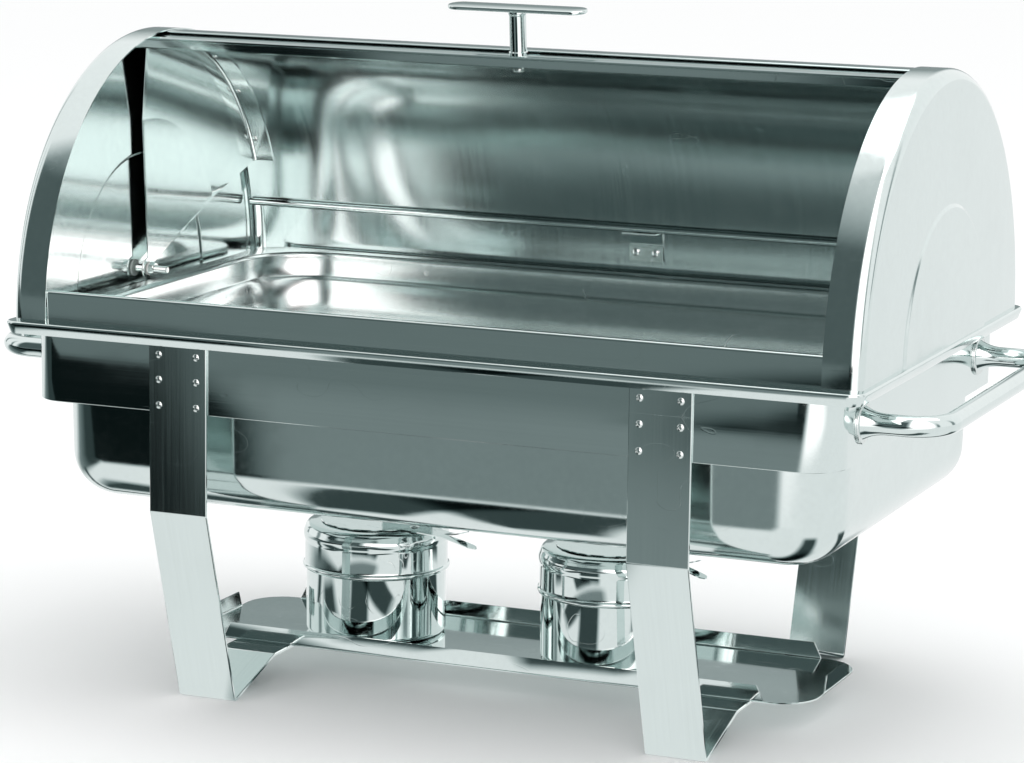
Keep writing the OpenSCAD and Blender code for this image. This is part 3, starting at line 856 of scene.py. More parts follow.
    def screws(self) -> None:
        """Screw heads inside the band, one for each handle end."""
        solid = Solid()
        head = lathe(screw_profile(4.5 * MM, 2.6 * MM), 32)
        for place, axis in self._each_socket():
            inner = tuple(np.array(place) - np.array(axis) * self.band_t)
            solid.grid(placed(head, inner, tuple(-a for a in axis)), wrap_v=True)
        self.shop.piece("handle_screw_heads", solid, self.body, "fastener", "handle_screws")


# ---------------------------------------------------------------------------------------
# Pans
# ---------------------------------------------------------------------------------------


@dataclass
class DrawnPan:
    """A deep-drawn pan: floor, rounded foot, leaning wall, flat rim and turned-down edge.

    The surface is a closed section carried round rounded rectangles whose corner radius changes
    from the rim's to the wall's.
    """

    shop: Workshop
    name: str
    node: str
    body: str
    wall_half: tuple
    corner_r: float
    foot_r: float
    rim_r: float
    edge_h: float
    lean: float
    finish: str
    t: float = 0.8 * MM
    bead_drop: float = 0.0
    bead_out: float = 0.0
    skirt_lean: float = 0.0
    lip_r: float = 3 * MM

    def section(self, e: Extent, t: float) -> np.ndarray:
        """Rows (inset from the wall's top line, height), from the floor's middle outwards.

        Args:
            e: the CAD node's box.
            t: how far inside the outer surface the section lies.
        """
        foot, inset = self.foot_r - t, -self.lean - self.foot_r
        rows = [(inset, e.lo[2] + t)]
        rows += [(inset + x, e.lo[2] + t + foot + y) for x, y in arc(0, 0, foot, -90, 0, 12)]
        if self.bead_drop:
            low = e.hi[2] - self.bead_drop
            rows += [(-t - self.lean * 0.35 - self.bead_out, low - 3 * MM),
                     (-t - self.bead_out * 0.7, low - 0.8 * MM), (-t - self.bead_out * 0.15, low)]
        turn = arc(self.lip_r - t, e.hi[2] - (self.t - t) - self.lip_r, self.lip_r, 180, 90, 7)
        return np.vstack([rows, turn])

    def build(self) -> None:
        """Builds the pan as one closed shell, inner face first."""
        e = Extent.of(self.node)
        wx, wy = self.wall_half
        t, r_edge = self.t, 1.6 * MM
        inner, outer = self.section(e, t), self.section(e, 0.0)
        rim_z, low_z = e.hi[2], e.hi[2] - self.edge_h
        rows = [(wx + q, wy + q, max(self.corner_r + q, 2 * MM), z) for q, z in inner]
        fx, fy, fr = e.half[0], e.half[1], self.rim_r
        curl = arc(-r_edge, rim_z - r_edge, r_edge, 90, 0, 6)
        rows += [(fx + q, fy + q, fr + q, z) for q, z in curl]
        foot = self.skirt_lean
        rows += [(fx + q - foot, fy + q - foot, fr + q - foot, z)
                 for q, z in ((0.0, low_z + 0.3 * MM), (-0.3 * MM, low_z), (-t, low_z + 0.3 * MM))]
        back = arc(-r_edge, rim_z - r_edge, r_edge - t, 0, 90, 4)
        rows += [(fx + q, fy + q, fr + q, z) for q, z in back]
        rows += [(wx + q, wy + q, max(self.corner_r + q, 2 * MM), z) for q, z in outer[::-1]]
        solid = Solid().grid(carried(*np.array(rows).T, (18, 26, 18)), wrap_v=True, cap_u=True)
        self.shop.piece(self.name, solid, self.body, self.finish, self.node, smooth=50)


# ---------------------------------------------------------------------------------------
# Fixed hood
# ---------------------------------------------------------------------------------------


@dataclass
class Hood:
    """Drawn end caps, rear barrel, apron, pivots and stop. Sizes in metres."""

    shop: Workshop
    t: float = 0.8 * MM
    radius: float = 169.4 * MM
    cap_round: float = 8 * MM
    arch_r: float = 87 * MM
    arch_h: float = 1.2 * MM
    barrel_end: float = 92.0
    hem: float = 4 * MM
    stud_r: float = 2.5 * MM
    stud_tip: float = 257 * MM
    bush_gap: float = 0.2 * MM
    body: str = field(default="hood", init=False)

    def __post_init__(self) -> None:
        """Takes the hood's axis and length from the frame."""
        self.axis_z = Extent.of("right_end_cap").lo[2]
        self.hoop_x = Extent.of("right_end_cap").lo[0]
        self.face_x = Extent.of("right_end_cap").hi[0] - self.arch_h
        pivot = joint_of("roll_cover_turn")["pos_m"]
        self.pivot = np.array(pivot)
        self.sector_x = Extent.of("right_sector").hi[0]

    def build(self) -> None:
        """Builds every piece of the fixed hood."""
        for side in Side:
            self.cap(side)
        self.barrel()
        self.apron()
        self.pivots()
        self.stop()

    def cap(self, side: Side) -> None:
        """A drawn end: a sheet section revolved half a turn about the hood's axis.

        The section runs from the middle of the face over the arch's step, round the drawn edge
        and along the hoop. It is thickened inwards, and both straight edges stand on the rim.
        """
        t, r = self.t, self.radius
        x, hoop = self.face_x, self.hoop_x
        line = fillet(
            [(0.0, x + self.arch_h - t / 2), (self.arch_r - 1.8 * MM, x + self.arch_h - t / 2),
             (self.arch_r + 0.4 * MM, x - t / 2), (r - t / 2, x - t / 2), (r - t / 2, hoop)],
            [0, 2 * MM, 2 * MM, self.cap_round - t / 2, 0], 10)
        loop = thicken(line, t)
        loop[0, 0] = loop[-1, 0] = 0.0
        grid = np.swapaxes(lathe(loop, 96, 0.0, 180.0), 0, 1)
        world = np.stack([side.value * grid[..., 2], grid[..., 0], self.axis_z + grid[..., 1]], -1)
        self.shop.piece(f"{side.word}_hood_end", Solid().strip_caps(world), self.body, "hood_ends",
                        f"{side.word}_end_cap", smooth=24)

    def barrel(self) -> None:
        """The rear half barrel: an arc of sheet, from the rim up over the top to its folded edge."""
        e = Extent.of("rear_barrel")
        r = e.hi[2] - self.axis_z - self.t / 2
        line = arc(0, self.axis_z, r, 0, self.barrel_end, 96)
        tip = line[-1]
        line = np.vstack([line, tip + np.array([-0.6 * MM, -0.5 * MM])])
        grid = extrude_sheet(line[::-1], self.t, e.lo[0], e.hi[0], 0.2 * MM, 12)
        self.shop.piece("rear_barrel_sheet", Solid().strip_caps(grid), self.body, "hood_sheet",
                        "rear_barrel")

    def apron(self) -> None:
        """The low strip between the hoops, with its top edge folded inwards."""
        e = Extent.of("front_apron")
        y = e.lo[1] + self.t / 2
        line = fillet([(y, e.lo[2]), (y, e.hi[2] - self.t / 2), (e.hi[1], e.hi[2] - self.t / 2)],
                      [0, 1.2 * MM, 0], 6)
        grid = extrude_sheet(line, self.t, e.lo[0], e.hi[0], 0.2 * MM, 8)
        self.shop.piece("front_apron_strip", Solid().strip_caps(grid), self.body, "satin_band",
                        "front_apron")

    def pivots(self) -> None:
        """Threaded studs, nylon bushes on both sides of each sector, and nuts."""
        studs, bushes, nuts = Solid(), Solid(), Solid()
        inner_x = Extent.of("pivot_studs").hi[0]
        profile = thread_profile(self.stud_r, inner_x - self.stud_tip, 0.8 * MM,
                                 inner_x - self.sector_x + 3 * MM)
        for s in (-1, 1):
            base = (s * inner_x, self.pivot[1], self.pivot[2])
            studs.grid(placed(lathe(profile, 28), base, (-s, 0, 0)), wrap_v=True)
            for x, r, h in ((self.sector_x + self.bush_gap, 5.5 * MM, 1.6 * MM),
                            (self.sector_x - self.t - self.bush_gap - 1 * MM, 4.5 * MM, 1 * MM)):
                ring = np.array([(self.stud_r + 0.05 * MM, 0), (r - 0.3 * MM, 0), (r, 0.3 * MM),
                                 (r, h - 0.3 * MM), (r - 0.3 * MM, h), (self.stud_r + 0.05 * MM, h)])
                bushes.grid(placed(lathe(ring, 36), (s * x, *self.pivot[1:]), (s, 0, 0)), True, True)
            nut_x = self.sector_x - self.t - self.bush_gap - 1 * MM
            nuts.grid(placed(hexagon_rows(8 * MM, 4 * MM, self.stud_r), (s * nut_x, *self.pivot[1:]),
                             (-s, 0, 0)), True, True)
        self.shop.piece("pivot_stud_pair", studs, self.body, "fastener", "pivot_studs")
        self.shop.piece("pivot_bush_set", bushes, self.body, "white_nylon", "pivot_bushes")
        self.shop.piece("pivot_nut_pair", nuts, self.body, "fastener", "pivot_nuts")

    def stop(self) -> None:
        """The plate behind the open cover's lower edge, with its tab and two screws."""
        e, screw = Extent.of("stop_bracket"), Extent.of("stop_screws")
        t = 1.2 * MM
        top, tab_y = e.hi[2] - t / 2, e.lo[1]
        back = e.hi[1] - t / 2
        line = fillet([(back, e.lo[2]), (back, e.lo[2] + 12 * MM), (back - 1.7 * MM, top), (tab_y, top)],
                      [0, 3 * MM, 2 * MM, 0], 6)
        grid = extrude_sheet(line, t, e.lo[0], e.hi[0], 0.2 * MM, 2)
        self.shop.piece("stop_tab", Solid().strip_caps(grid), self.body, "satin_band", "stop_bracket")
        solid = Solid()
        head = lathe(screw_profile(2.75 * MM, 1.8 * MM), 24)
        for x in (screw.lo[0] + 2.75 * MM, screw.hi[0] - 2.75 * MM):
            solid.grid(placed(head, (x, e.hi[1] - t, screw.mid[2]), (0, -1, 0)), wrap_v=True)
        self.shop.piece("stop_screw_heads", solid, self.body, "fastener", "stop_screws")


# ---------------------------------------------------------------------------------------
# Roll cover
# ---------------------------------------------------------------------------------------


@dataclass
class RollCover:
    """The turning cover, in its open position. Sizes in metres, angles from the rear, in degrees."""

    shop: Workshop
    t: float = 0.8 * MM
    radius: float = 157.5 * MM
    lead: float = 96.0
    trail: float = 10.0
    sector_low: float = 21.5
    sector_high: float = 94.0
    strip_w: float = 21 * MM
    drawn_r: float = 3 * MM
    lean: float = 6 * MM
    lean_from: float = 100 * MM
    bar_t: float = 6 * MM
    bar_h: float = 8 * MM
    rivet_angles: tuple = (28, 44, 60, 76, 90)
    grip_top: float = 186 * MM
    plate_half: float = 9 * MM
    plate_t: float = 2.4 * MM
    body: str = field(default="roll_cover", init=False)

    def __post_init__(self) -> None:
        """Takes the pivot and the cover's length from the frame."""
        self.pivot = np.array(joint_of("roll_cover_turn")["pos_m"])
        self.half = Extent.of("cover_sheet").hi[0]

    def polar(self, r: float, angle: float, x: float = 0.0) -> np.ndarray:
        """The point at this radius and angle from the pivot."""
        a = math.radians(angle)
        return self.pivot + np.array([x, r * math.cos(a), r * math.sin(a)])

    def direction(self, angle: float) -> tuple:
        """The outward direction at this angle."""
        a = math.radians(angle)
        return (0.0, math.cos(a), math.sin(a))

    def build(self) -> None:
        """Builds every piece of the cover."""
        self.sheet()
        self.bar()
        self.hem()
        for side in Side:
            self.sector(side)
        self.rivets()
        self.grip()

    def sheet(self) -> None:
        """The curved sheet, from its trailing edge to the leading bar."""
        bar_a = math.degrees(math.asin(self.bar_t / 2 / self.radius))
        line = arc(self.pivot[1], self.pivot[2], self.radius - self.t / 2, self.trail,
                   self.lead - bar_a, 90)
        grid = extrude_sheet(line[::-1], self.t, -self.half, self.half, 0.2 * MM, 12)
        self.shop.piece("roll_sheet", Solid().strip_caps(grid), self.body, "hood_sheet", "cover_sheet")

    def bar(self) -> None:
        """The leading edge: a folded bar with soft corners and a fold line along its front."""
        b, h, t = 0.9 * MM, self.bar_h, self.bar_t
        low = self.radius - h
        pts = [(-t / 2, low + b), (-t / 2 + b, low), (t / 2 - b, low), (t / 2, low + b),
               (t / 2, self.radius - 2.4 * MM), (t / 2 - 0.5 * MM, self.radius - 2.1 * MM),
               (t / 2, self.radius - 1.8 * MM), (t / 2, self.radius - b), (t / 2 - b, self.radius),
               (-t / 2 + b, self.radius), (-t / 2, self.radius - b)]
        a = math.radians(self.lead)
        out, ahead = np.array([math.cos(a), math.sin(a)]), np.array([-math.sin(a), math.cos(a)])
        loop = np.array([self.pivot[1:] + q * ahead + r * out for q, r in pts])
        xs = np.array([-self.half, -self.half + 0.4 * MM, self.half - 0.4 * MM, self.half])
        mid = loop.mean(0)
        loops = [mid + (loop - mid) * k for k in (0.86, 1, 1, 0.86)]
        grid = np.stack([np.column_stack([np.full(len(q), x), q]) for x, q in zip(xs, loops)])
        self.shop.piece("leading_edge_bar", Solid().grid(grid, wrap_v=True, cap_u=True), self.body,
                        "satin_band", "leading_bar")

    def hem(self) -> None:
        """The rolled trailing edge: a tube along X with rounded ends."""
        e = Extent.of("trailing_hem")
        r = e.half[2]
        x = np.array([e.lo[0], e.lo[0] + 0.2 * MM, e.lo[0] + r * 0.5, e.hi[0] - r * 0.5,
                      e.hi[0] - 0.2 * MM, e.hi[0]])
        radius = r * np.array([0.6, 0.85, 1, 1, 0.85, 0.6])
        path = np.column_stack([x, np.full(6, e.mid[1]), np.full(6, e.mid[2])])
        grid = tube(path, radius, np.array([0.0, 0.0, 1.0]), 20)
        self.shop.piece("rolled_hem", Solid().grid(grid, wrap_v=True, cap_u=True), self.body,
                        "satin_band", "trailing_hem", smooth=60)

    def sector(self, side: Side) -> None:
        """A drawn end plate: a pie slice that leans inwards near its rim and turns into its strip.

        The section is revolved about the pivot between the plate's two radial edges; a round boss
        carries the pivot hole.
        """
        node = f"{side.word}_sector"
        e = Extent.of(node)
        x = max(abs(e.lo[0]), abs(e.hi[0]))
        r = self.radius - self.t - 0.1 * MM
        half_t = self.t / 2
        line = fillet([(3.2 * MM, x - half_t), (self.lean_from, x - half_t),
                       (r - half_t, x - half_t - self.lean), (r - half_t, x - self.strip_w)],
                      [0, 3 * self.drawn_r, self.drawn_r, 0], 10)
        spans = 72
        bevel = 0.2 * MM
        solid = Solid()
        angles = np.linspace(self.sector_low, self.sector_high, spans + 1)
        rows = []
        for i, a in enumerate(angles):
            thick = self.t - 2 * bevel if i in (0, spans) else self.t
            loop = thicken(line, thick)
            c, s = math.cos(math.radians(a)), math.sin(math.radians(a))
            rows.append(np.column_stack([side.value * loop[:, 1], self.pivot[1] + loop[:, 0] * c,
                                         self.pivot[2] + loop[:, 0] * s]))
        solid.strip_caps(np.stack(rows))
        boss = np.array([(2.55 * MM, -0.02 * MM), (7.3 * MM, -0.02 * MM), (7.5 * MM, 0.2 * MM),
                         (7.5 * MM, self.t - 0.2 * MM), (7.3 * MM, self.t + 0.02 * MM),
                         (2.55 * MM, self.t + 0.02 * MM)])
        base = (side.value * (x - self.t), self.pivot[1], self.pivot[2])
        solid.grid(placed(lathe(boss, 48), base, (side.value, 0, 0)), True, True)
        self.shop.piece(f"{side.word}_sector_plate", solid, self.body, "hood_ends", node)

    def rivets(self) -> None:
        """Small round heads on the inside of each sector's strip."""
        solid = Solid()
        head = lathe(rivet_profile(2.2 * MM, 0.8 * MM, 0.7 * MM), 18)
        r = self.radius - 2 * self.t - 0.1 * MM
        x = Extent.of("right_sector").hi[0] - self.strip_w / 2
        for s in (-1, 1):
            for a in self.rivet_angles:
                d = self.direction(a)
                solid.grid(placed(head, tuple(self.polar(r, a, s * x)), tuple(-q for q in d)), wrap_v=True)
        self.shop.piece("sector_rivet_heads", solid, self.body, "fastener", "sector_rivets")

    def grip(self) -> None:
        """The T handle: a turned post with a collar, a flat oval plate and its screw."""
        post, plate = Extent.of("handle_post"), Extent.of("handle_plate")
        r, base = post.half[0], self.radius
        top = self.grip_top
        collar = [(r, base + 0.3 * MM), (r, base + 2.2 * MM), (r - 0.6 * MM, base + 2.9 * MM)]
        profile = np.vstack([[(0, base - 0.05 * MM), (r - 0.3 * MM, base - 0.05 * MM), *collar,
                              (r - 0.6 * MM, top - 3.4 * MM)],
                             arc(r + 1.6 * MM, top - 3.4 * MM, 2.2 * MM, 180, 110, 6),
                             [(r - 0.1 * MM, top), (0, top)]])
        profile[:, 0] = np.minimum(profile[:, 0], r)
        at = tuple(self.pivot)
        d = self.direction(self.lead)
        solid = Solid().grid(placed(lathe(profile, 40), at, d), wrap_v=True)
        self.shop.piece("grip_post", solid, self.body, "polished", "handle_post")
        hx, hy, t, b = plate.half[0], self.plate_half, self.plate_t, 0.8 * MM
        rows = np.vstack([[(-hy * 0.98, top)], arc(-b, top + b, b, -90, 0, 4),
                          arc(-b, top + t - b, b, 0, 90, 4), [(-hy * 0.98, top + t)]])
        local = carried(hx + rows[:, 0], hy + rows[:, 0], (hy + rows[:, 0]) * 0.999, rows[:, 1],
                        (16, 12, 1))
        solid = Solid().grid(placed(local, at, d), wrap_v=True, cap_u=True)
        self.shop.piece("grip_plate", solid, self.body, "polished", "handle_plate")
        head = lathe(screw_profile(4 * MM, 3 * MM), 28)
        seat = tuple(self.polar(self.radius - self.bar_h, self.lead))
        solid = Solid().grid(placed(head, seat, tuple(-q for q in d)), wrap_v=True)
        self.shop.piece("grip_screw_head", solid, self.body, "fastener", "handle_screw")


# ---------------------------------------------------------------------------------------
# Burners
# ---------------------------------------------------------------------------------------


@dataclass
class Burner:
    """A fuel can with a push-on lid and a swivelling damper. Sizes in metres."""

    shop: Workshop
    side: Side
    height: float = 73.5 * MM
    bead_r: float = 2.0 * MM
    roll_r: float = 9 * MM
    roll_out: float = 0.9 * MM
    lid_low: float = 45 * MM
    hole_r: float = 31 * MM
    disc_r: float = 36.5 * MM

    def __post_init__(self) -> None:
        """Takes the can's place and the damper's direction from the frame."""
        word = self.side.word
        can = Extent.of(f"{word}_burner_can")
        self.base = np.array([can.mid[0], can.mid[1], can.lo[2]])
        self.radius, self.can_h = can.half[0], can.hi[2] - can.lo[2]
        rivet = np.array(joint_of(f"{word}_damper_swivel")["pos_m"])
        self.tail_a = math.atan2(rivet[1] - self.base[1], rivet[0] - self.base[0])
        self.rivet = rivet

    def build(self) -> None:
        """Builds the can, the lid, the damper and its rivet."""
        self.can()
        self.lid()
        self.damper()
        self.pin()

    def _turned(self, profile: np.ndarray, n: int = 96) -> Solid:
        """A closed section turned about the can's axis."""
        return Solid().grid(lathe(profile, n) + self.base, wrap_u=False, wrap_v=True)

    def can(self) -> None:
        """A drawn can: flat foot, rounded heel, straight wall and a rolled lip."""
        r, t, h = self.radius, 0.6 * MM, self.can_h
        profile = np.vstack([[(0, 0.8 * MM), (r - 9 * MM, 0.8 * MM), (r - 7 * MM, 0)],
                             arc(r - 4 * MM, 4 * MM, 4 * MM, -90, 0, 8),
                             [(r, h - 0.4 * MM), (r - t / 2, h), (r - t, h - 0.4 * MM)],
                             arc(r - 4 * MM, 4 * MM, 4 * MM - t, 0, -90, 8), [(0, t + 0.8 * MM)]])
        word = self.side.word
        self.shop.piece(f"{word}_fuel_can", self._turned(profile), f"{word}_burner", "burner_shell",
                        f"{word}_burner_can")

    def lid(self) -> None:
        """The lid: a bead at its foot, a straight skirt, a rolled swell, a shoulder and a sunk top."""
        r, t, top = self.radius + 0.3 * MM, 0.6 * MM, self.height
        out = r + t
        bead = arc(r + 0.1 * MM, self.lid_low, self.bead_r, -120, 70, 10)
        roll = arc(out + self.roll_out - self.roll_r, top - 8 * MM, self.roll_r, -26, 26, 8)
        outer = np.vstack([bead, [(out, self.lid_low + 3.2 * MM), (out, top - 13 * MM)], roll,
                           arc(out - 4.2 * MM, top - 4 * MM, 4 * MM, 15, 82, 8),
                           [(self.hole_r + 7 * MM, top)],
                           arc(self.hole_r + 1.2 * MM, top - 1.2 * MM, 1.2 * MM, 90, 180, 5)])
        inner = np.array([(self.hole_r, top - 2.4 * MM), (self.hole_r + t, top - 2.4 * MM),
                          (self.hole_r + 2 * MM, top - t), (out - 5 * MM, top - t),
                          (out - t - 1.0 * MM, top - 3 * MM), (out - t, top - 5.5 * MM),
                          (r, self.lid_low + 3.5 * MM), (r, self.lid_low - 1 * MM)])
        profile = np.vstack([outer, inner])
        word = self.side.word
        solid = Solid().grid(lathe(profile, 96) + self.base, True, True)
        self.shop.piece(f"{word}_can_lid", solid, f"{word}_lid", "burner_shell", f"{word}_burner_lid")

    def _aim(self, p: np.ndarray) -> np.ndarray:
        """Turns points from the tail's direction into the frame."""
        c, s = math.cos(self.tail_a), math.sin(self.tail_a)
        x, y = p[..., 0] * c - p[..., 1] * s, p[..., 0] * s + p[..., 1] * c
        return np.stack([x, y, p[..., 2]], -1) + self.base

    def damper(self) -> None:
        """The damper: a disc with a tail, split into one prong bent down and one bent up."""
        z, t = self.height + 0.3 * MM, 0.8 * MM
        solid = Solid()
        disc = [(0, z + 0.1 * MM), (self.disc_r - 0.3 * MM, z), (self.disc_r, z + 0.3 * MM),
                (self.disc_r - 0.3 * MM, z + t), (0, z + t)]
        solid.grid(self._aim(lathe(np.array(disc), 96)), wrap_v=True)
        solid.strip_caps(self._blade(30, 64, 0.0, (12, 6.9), 7, z))
        solid.strip_caps(self._blade(63, 96, -3.2, (3.3, 3.6), 16, z, -3.5))
        solid.strip_caps(self._blade(63, 82, 4.6, (3.1, 2.4), 12, z, 3.6))
        word = self.side.word
        self.shop.piece(f"{word}_swivel_damper", solid, f"{word}_damper", "burner_shell",
                        f"{word}_damper", smooth=25)

    def _blade(self, x0: float, x1: float, rise: float, half: tuple, n: int, z: float,
               y_mid: float = 0.0) -> np.ndarray:
        """A tapered strip along the tail, in millimetres, that curves up or down by rise.

        Its middle line is z + rise * s**1.6, and its half width goes from half[0] to half[1] and
        closes in a rounded tip on the curved prongs.
        """
        s = np.linspace(0, 1, n)
        x = (x0 + (x1 - x0) * s) * MM
        tip = np.sqrt(np.clip(1 - np.clip((s - 0.82) / 0.185, 0, 1) ** 2, 0.02, 1)) if rise else 1 + 0 * s
        width = (half[0] + (half[1] - half[0]) * s) * tip * MM
        height = z + 0.4 * MM + rise * s ** 1.6 * MM
        t = 0.7 * MM
        left, right = y_mid * MM + width, y_mid * MM - width
        over, under = height + t / 2, height - t / 2
        line = [(left, over), (right, over), (right, under), (left, under)]
        grid = np.stack([np.column_stack([x, a, b]) for a, b in line], 1)
        return self._aim(grid)

    def pin(self) -> None:
        """The rivet that the damper swivels on."""
        word = self.side.word
        head = lathe(rivet_profile(3.0 * MM, 1.0 * MM, 1.1 * MM), 24)
        z = self.base[2] + self.height + 1.15 * MM
        solid = Solid().grid(placed(head, (self.rivet[0], self.rivet[1], z), (0, 0, 1)), wrap_v=True)
        self.shop.piece(f"{word}_swivel_rivet", solid, f"{word}_lid", "fastener", f"{word}_damper_rivet")


# ---------------------------------------------------------------------------------------
# Studio
# ---------------------------------------------------------------------------------------


@dataclass(frozen=True)
class Lamp:
    """A soft rectangular light: its place, what it points at, its size and its power."""

    name: str
    place: tuple
    target: tuple
    size: tuple
    watts: float
    tint: tuple = (1.0, 1.0, 1.0)

    def light(self) -> None:
        """Adds the light to the scene."""
        data = bpy.data.lights.new(self.name, "AREA")
        data.shape = "RECTANGLE"
        data.size, data.size_y = self.size
        data.energy = self.watts
        data.color = self.tint
        lamp = bpy.data.objects.new(self.name, data)
        lamp.location = self.place
        aim = Vector(self.target) - Vector(self.place)
        lamp.rotation_euler = aim.to_track_quat("-Z", "Y").to_euler()
        bpy.context.scene.collection.objects.link(lamp)


@dataclass
class Studio:
    """Camera, floor, surroundings and lights.

    Polished metal shows its surroundings, so mirrors see a white room and, painted on the floor in
    front of it, grey cards and dark strips that glow only for mirror rays as painted reflections,
    while the floor itself is plain and evenly lit to the camera.
    """

    place: tuple = (0.88321448, -2.14332938, 0.62640481)
    forward: tuple = (-0.37757603, 0.90765509, -0.18329918)
    upward: tuple = (-0.08255323, 0.1641679, 0.98297195)
    lens: float = 129.51
    floor_half: float = 30.0
    room: float = 1.02
    lamps: tuple = (
        Lamp("overhead_softbox", (0.3, 0.5, 2.6), (0, 0, 0.2), (2.4, 1.6), 14),
    )

    def build(self) -> None:
        """Sets up the whole studio."""
        self.camera()
        self.floor()
        self.surroundings()
        for lamp in self.lamps:
            lamp.light()
        bpy.context.scene.view_settings.view_transform = "Standard"

    def camera(self) -> None:
        """A long lens, turned so that its axes are the given forward and upward directions."""
        data = bpy.data.cameras.new("camera")
        data.lens, data.sensor_width = self.lens, 36.0
        data.clip_start, data.clip_end = 0.05, 60.0
        back, up = -Vector(self.forward).normalized(), Vector(self.upward).normalized()
        right = up.cross(back).normalized()
        turn = Matrix((right, back.cross(right), back)).transposed()
        camera = bpy.data.objects.new("camera", data)
        camera.matrix_world = Matrix.Translation(self.place) @ turn.to_4x4()
        bpy.context.scene.collection.objects.link(camera)
        bpy.context.scene.camera = camera

    def _polar(self, g: Graph, x: bpy.types.NodeSocket, y: bpy.types.NodeSocket,
               centre: tuple = (0.0, 0.0)) -> tuple:
        """Angle in degrees, from -180 to 180 with 0 along +X, and distance from a centre."""
        dx, dy = g.math("SUBTRACT", x, centre[0]), g.math("SUBTRACT", y, centre[1])
        angle = g.math("DEGREES", g.math("ARCTAN2", dy, dx))
        far = g.math("SQRT", g.math("ADD", g.math("MULTIPLY", dx, dx), g.math("MULTIPLY", dy, dy)))
        return angle, far

    def _stripe(self, g: Graph, angle: bpy.types.NodeSocket, low: float, high: float,
                soft: float = 3.0) -> bpy.types.NodeSocket:
        """One between two angles and nought outside them, with soft edges."""
        rise = g.ramp(angle, low - soft, low + soft, 0.0, 1.0)
        return g.math("MULTIPLY", rise, g.ramp(angle, high - soft, high + soft, 1.0, 0.0))

    def _cards(self, g: Graph, x: bpy.types.NodeSocket, y: bpy.types.NodeSocket) -> bpy.types.NodeSocket:
        """Painted reflection: brightness of the floor as mirrors see it, glowing in place of light.

        A mid-grey card is painted on the floor in front. It is nearly black towards the left in its
        nearer part and towards the right in its farther part. The floor at the front right is the
        brightest, a painted highlight that glows brighter than white.
        """
        angle, _ = self._polar(g, x, y)
        reach = g.math("MULTIPLY", g.ramp(y, -1.6, -1.45, 0.0, 1.0), g.ramp(y, -0.3, -0.05, 1.0, 0.15))
        left = g.math("MULTIPLY", g.ramp(angle, -120.5, -118.5, 1.0, 0.0), reach)
        right = g.math("MULTIPLY", g.ramp(angle, -102.0, -97.0, 0.0, 1.0), g.ramp(y, -1.1, -0.95, 1.0, 0.0))
        # Painted reflection: the grey card, nearly black at its left and right ends, glowing only for
        # mirror rays.
        card = g.math("MULTIPLY", g.ramp(y, -1.5, -0.8, 0.20, 0.27),
                      g.math("SUBTRACT", 1.0, g.math("MULTIPLY", left, 0.97)))
        card = g.math("MULTIPLY", card, g.math("SUBTRACT", 1.0, g.math("MULTIPLY", right, 0.92)))
        wedge = self._stripe(g, angle, -158.0, -74.0, 5.0)
        shown = g.math("MULTIPLY", wedge, g.ramp(y, -0.50, -0.42, 1.0, 0.0))
        beside = g.math("MULTIPLY", g.ramp(x, -0.50, -0.42, 1.0, 0.0), g.ramp(y, -0.05, 0.15, 0.95, 0.0))
        shown = g.math("MAXIMUM", shown, beside)
        # Painted highlight: the floor at the front right glows brighter for mirror rays.
        corner = g.math("MULTIPLY", self._stripe(g, angle, -72.0, -30.0, 8.0),
                        g.ramp(y, -0.9, -0.6, 0.6, 0.0))
        return g.math("ADD", g.math("MULTIPLY", card, shown),
                      g.math("MULTIPLY", g.math("ADD", 0.98, corner), g.math("SUBTRACT", 1.0, shown)))

    def _rings(self, g: Graph, x: bpy.types.NodeSocket, y: bpy.types.NodeSocket) -> bpy.types.NodeSocket:
        """Painted reflections: dark strips painted on the floor round each burner like the spokes of a
        wheel, seen only by mirrors.
        """
        light = 1.0
        spokes = {Side.LEFT: ((-104, -77), (-22, -14), (22, 44), (-168, -160)),
                  Side.RIGHT: ((-117, -88), (-40, -26), (10, 34), (-165, -152))}
        for side, strips in spokes.items():
            can = Extent.of(f"{side.word}_burner_can").mid
            angle, far = self._polar(g, x, y, (can[0], can[1]))
            near = g.math("MULTIPLY", g.ramp(far, 0.12, 0.15, 0.0, 1.0), g.ramp(far, 0.38, 0.44, 1.0, 0.0))
            for low, high in strips:
                # Painted reflection: each dark spoke is painted on the floor and seen only by mirror rays.
                strip = g.math("MULTIPLY", near, self._stripe(g, angle, low, high, 2.5))
                light = g.math("MULTIPLY", light, g.math("SUBTRACT", 1.0, g.math("MULTIPLY", strip, 0.93)))
        return light

    def _cool(self, g: Graph, value: bpy.types.NodeSocket) -> bpy.types.NodeSocket:
        """A brightness as a colour that turns blue-green as it darkens."""
        colour = g.add("ShaderNodeCombineXYZ")
        g.link(g.math("POWER", value, 1.14), colour.inputs["X"])
        for axis in "YZ":
            g.link(value, colour.inputs[axis])
        return colour.outputs[0]

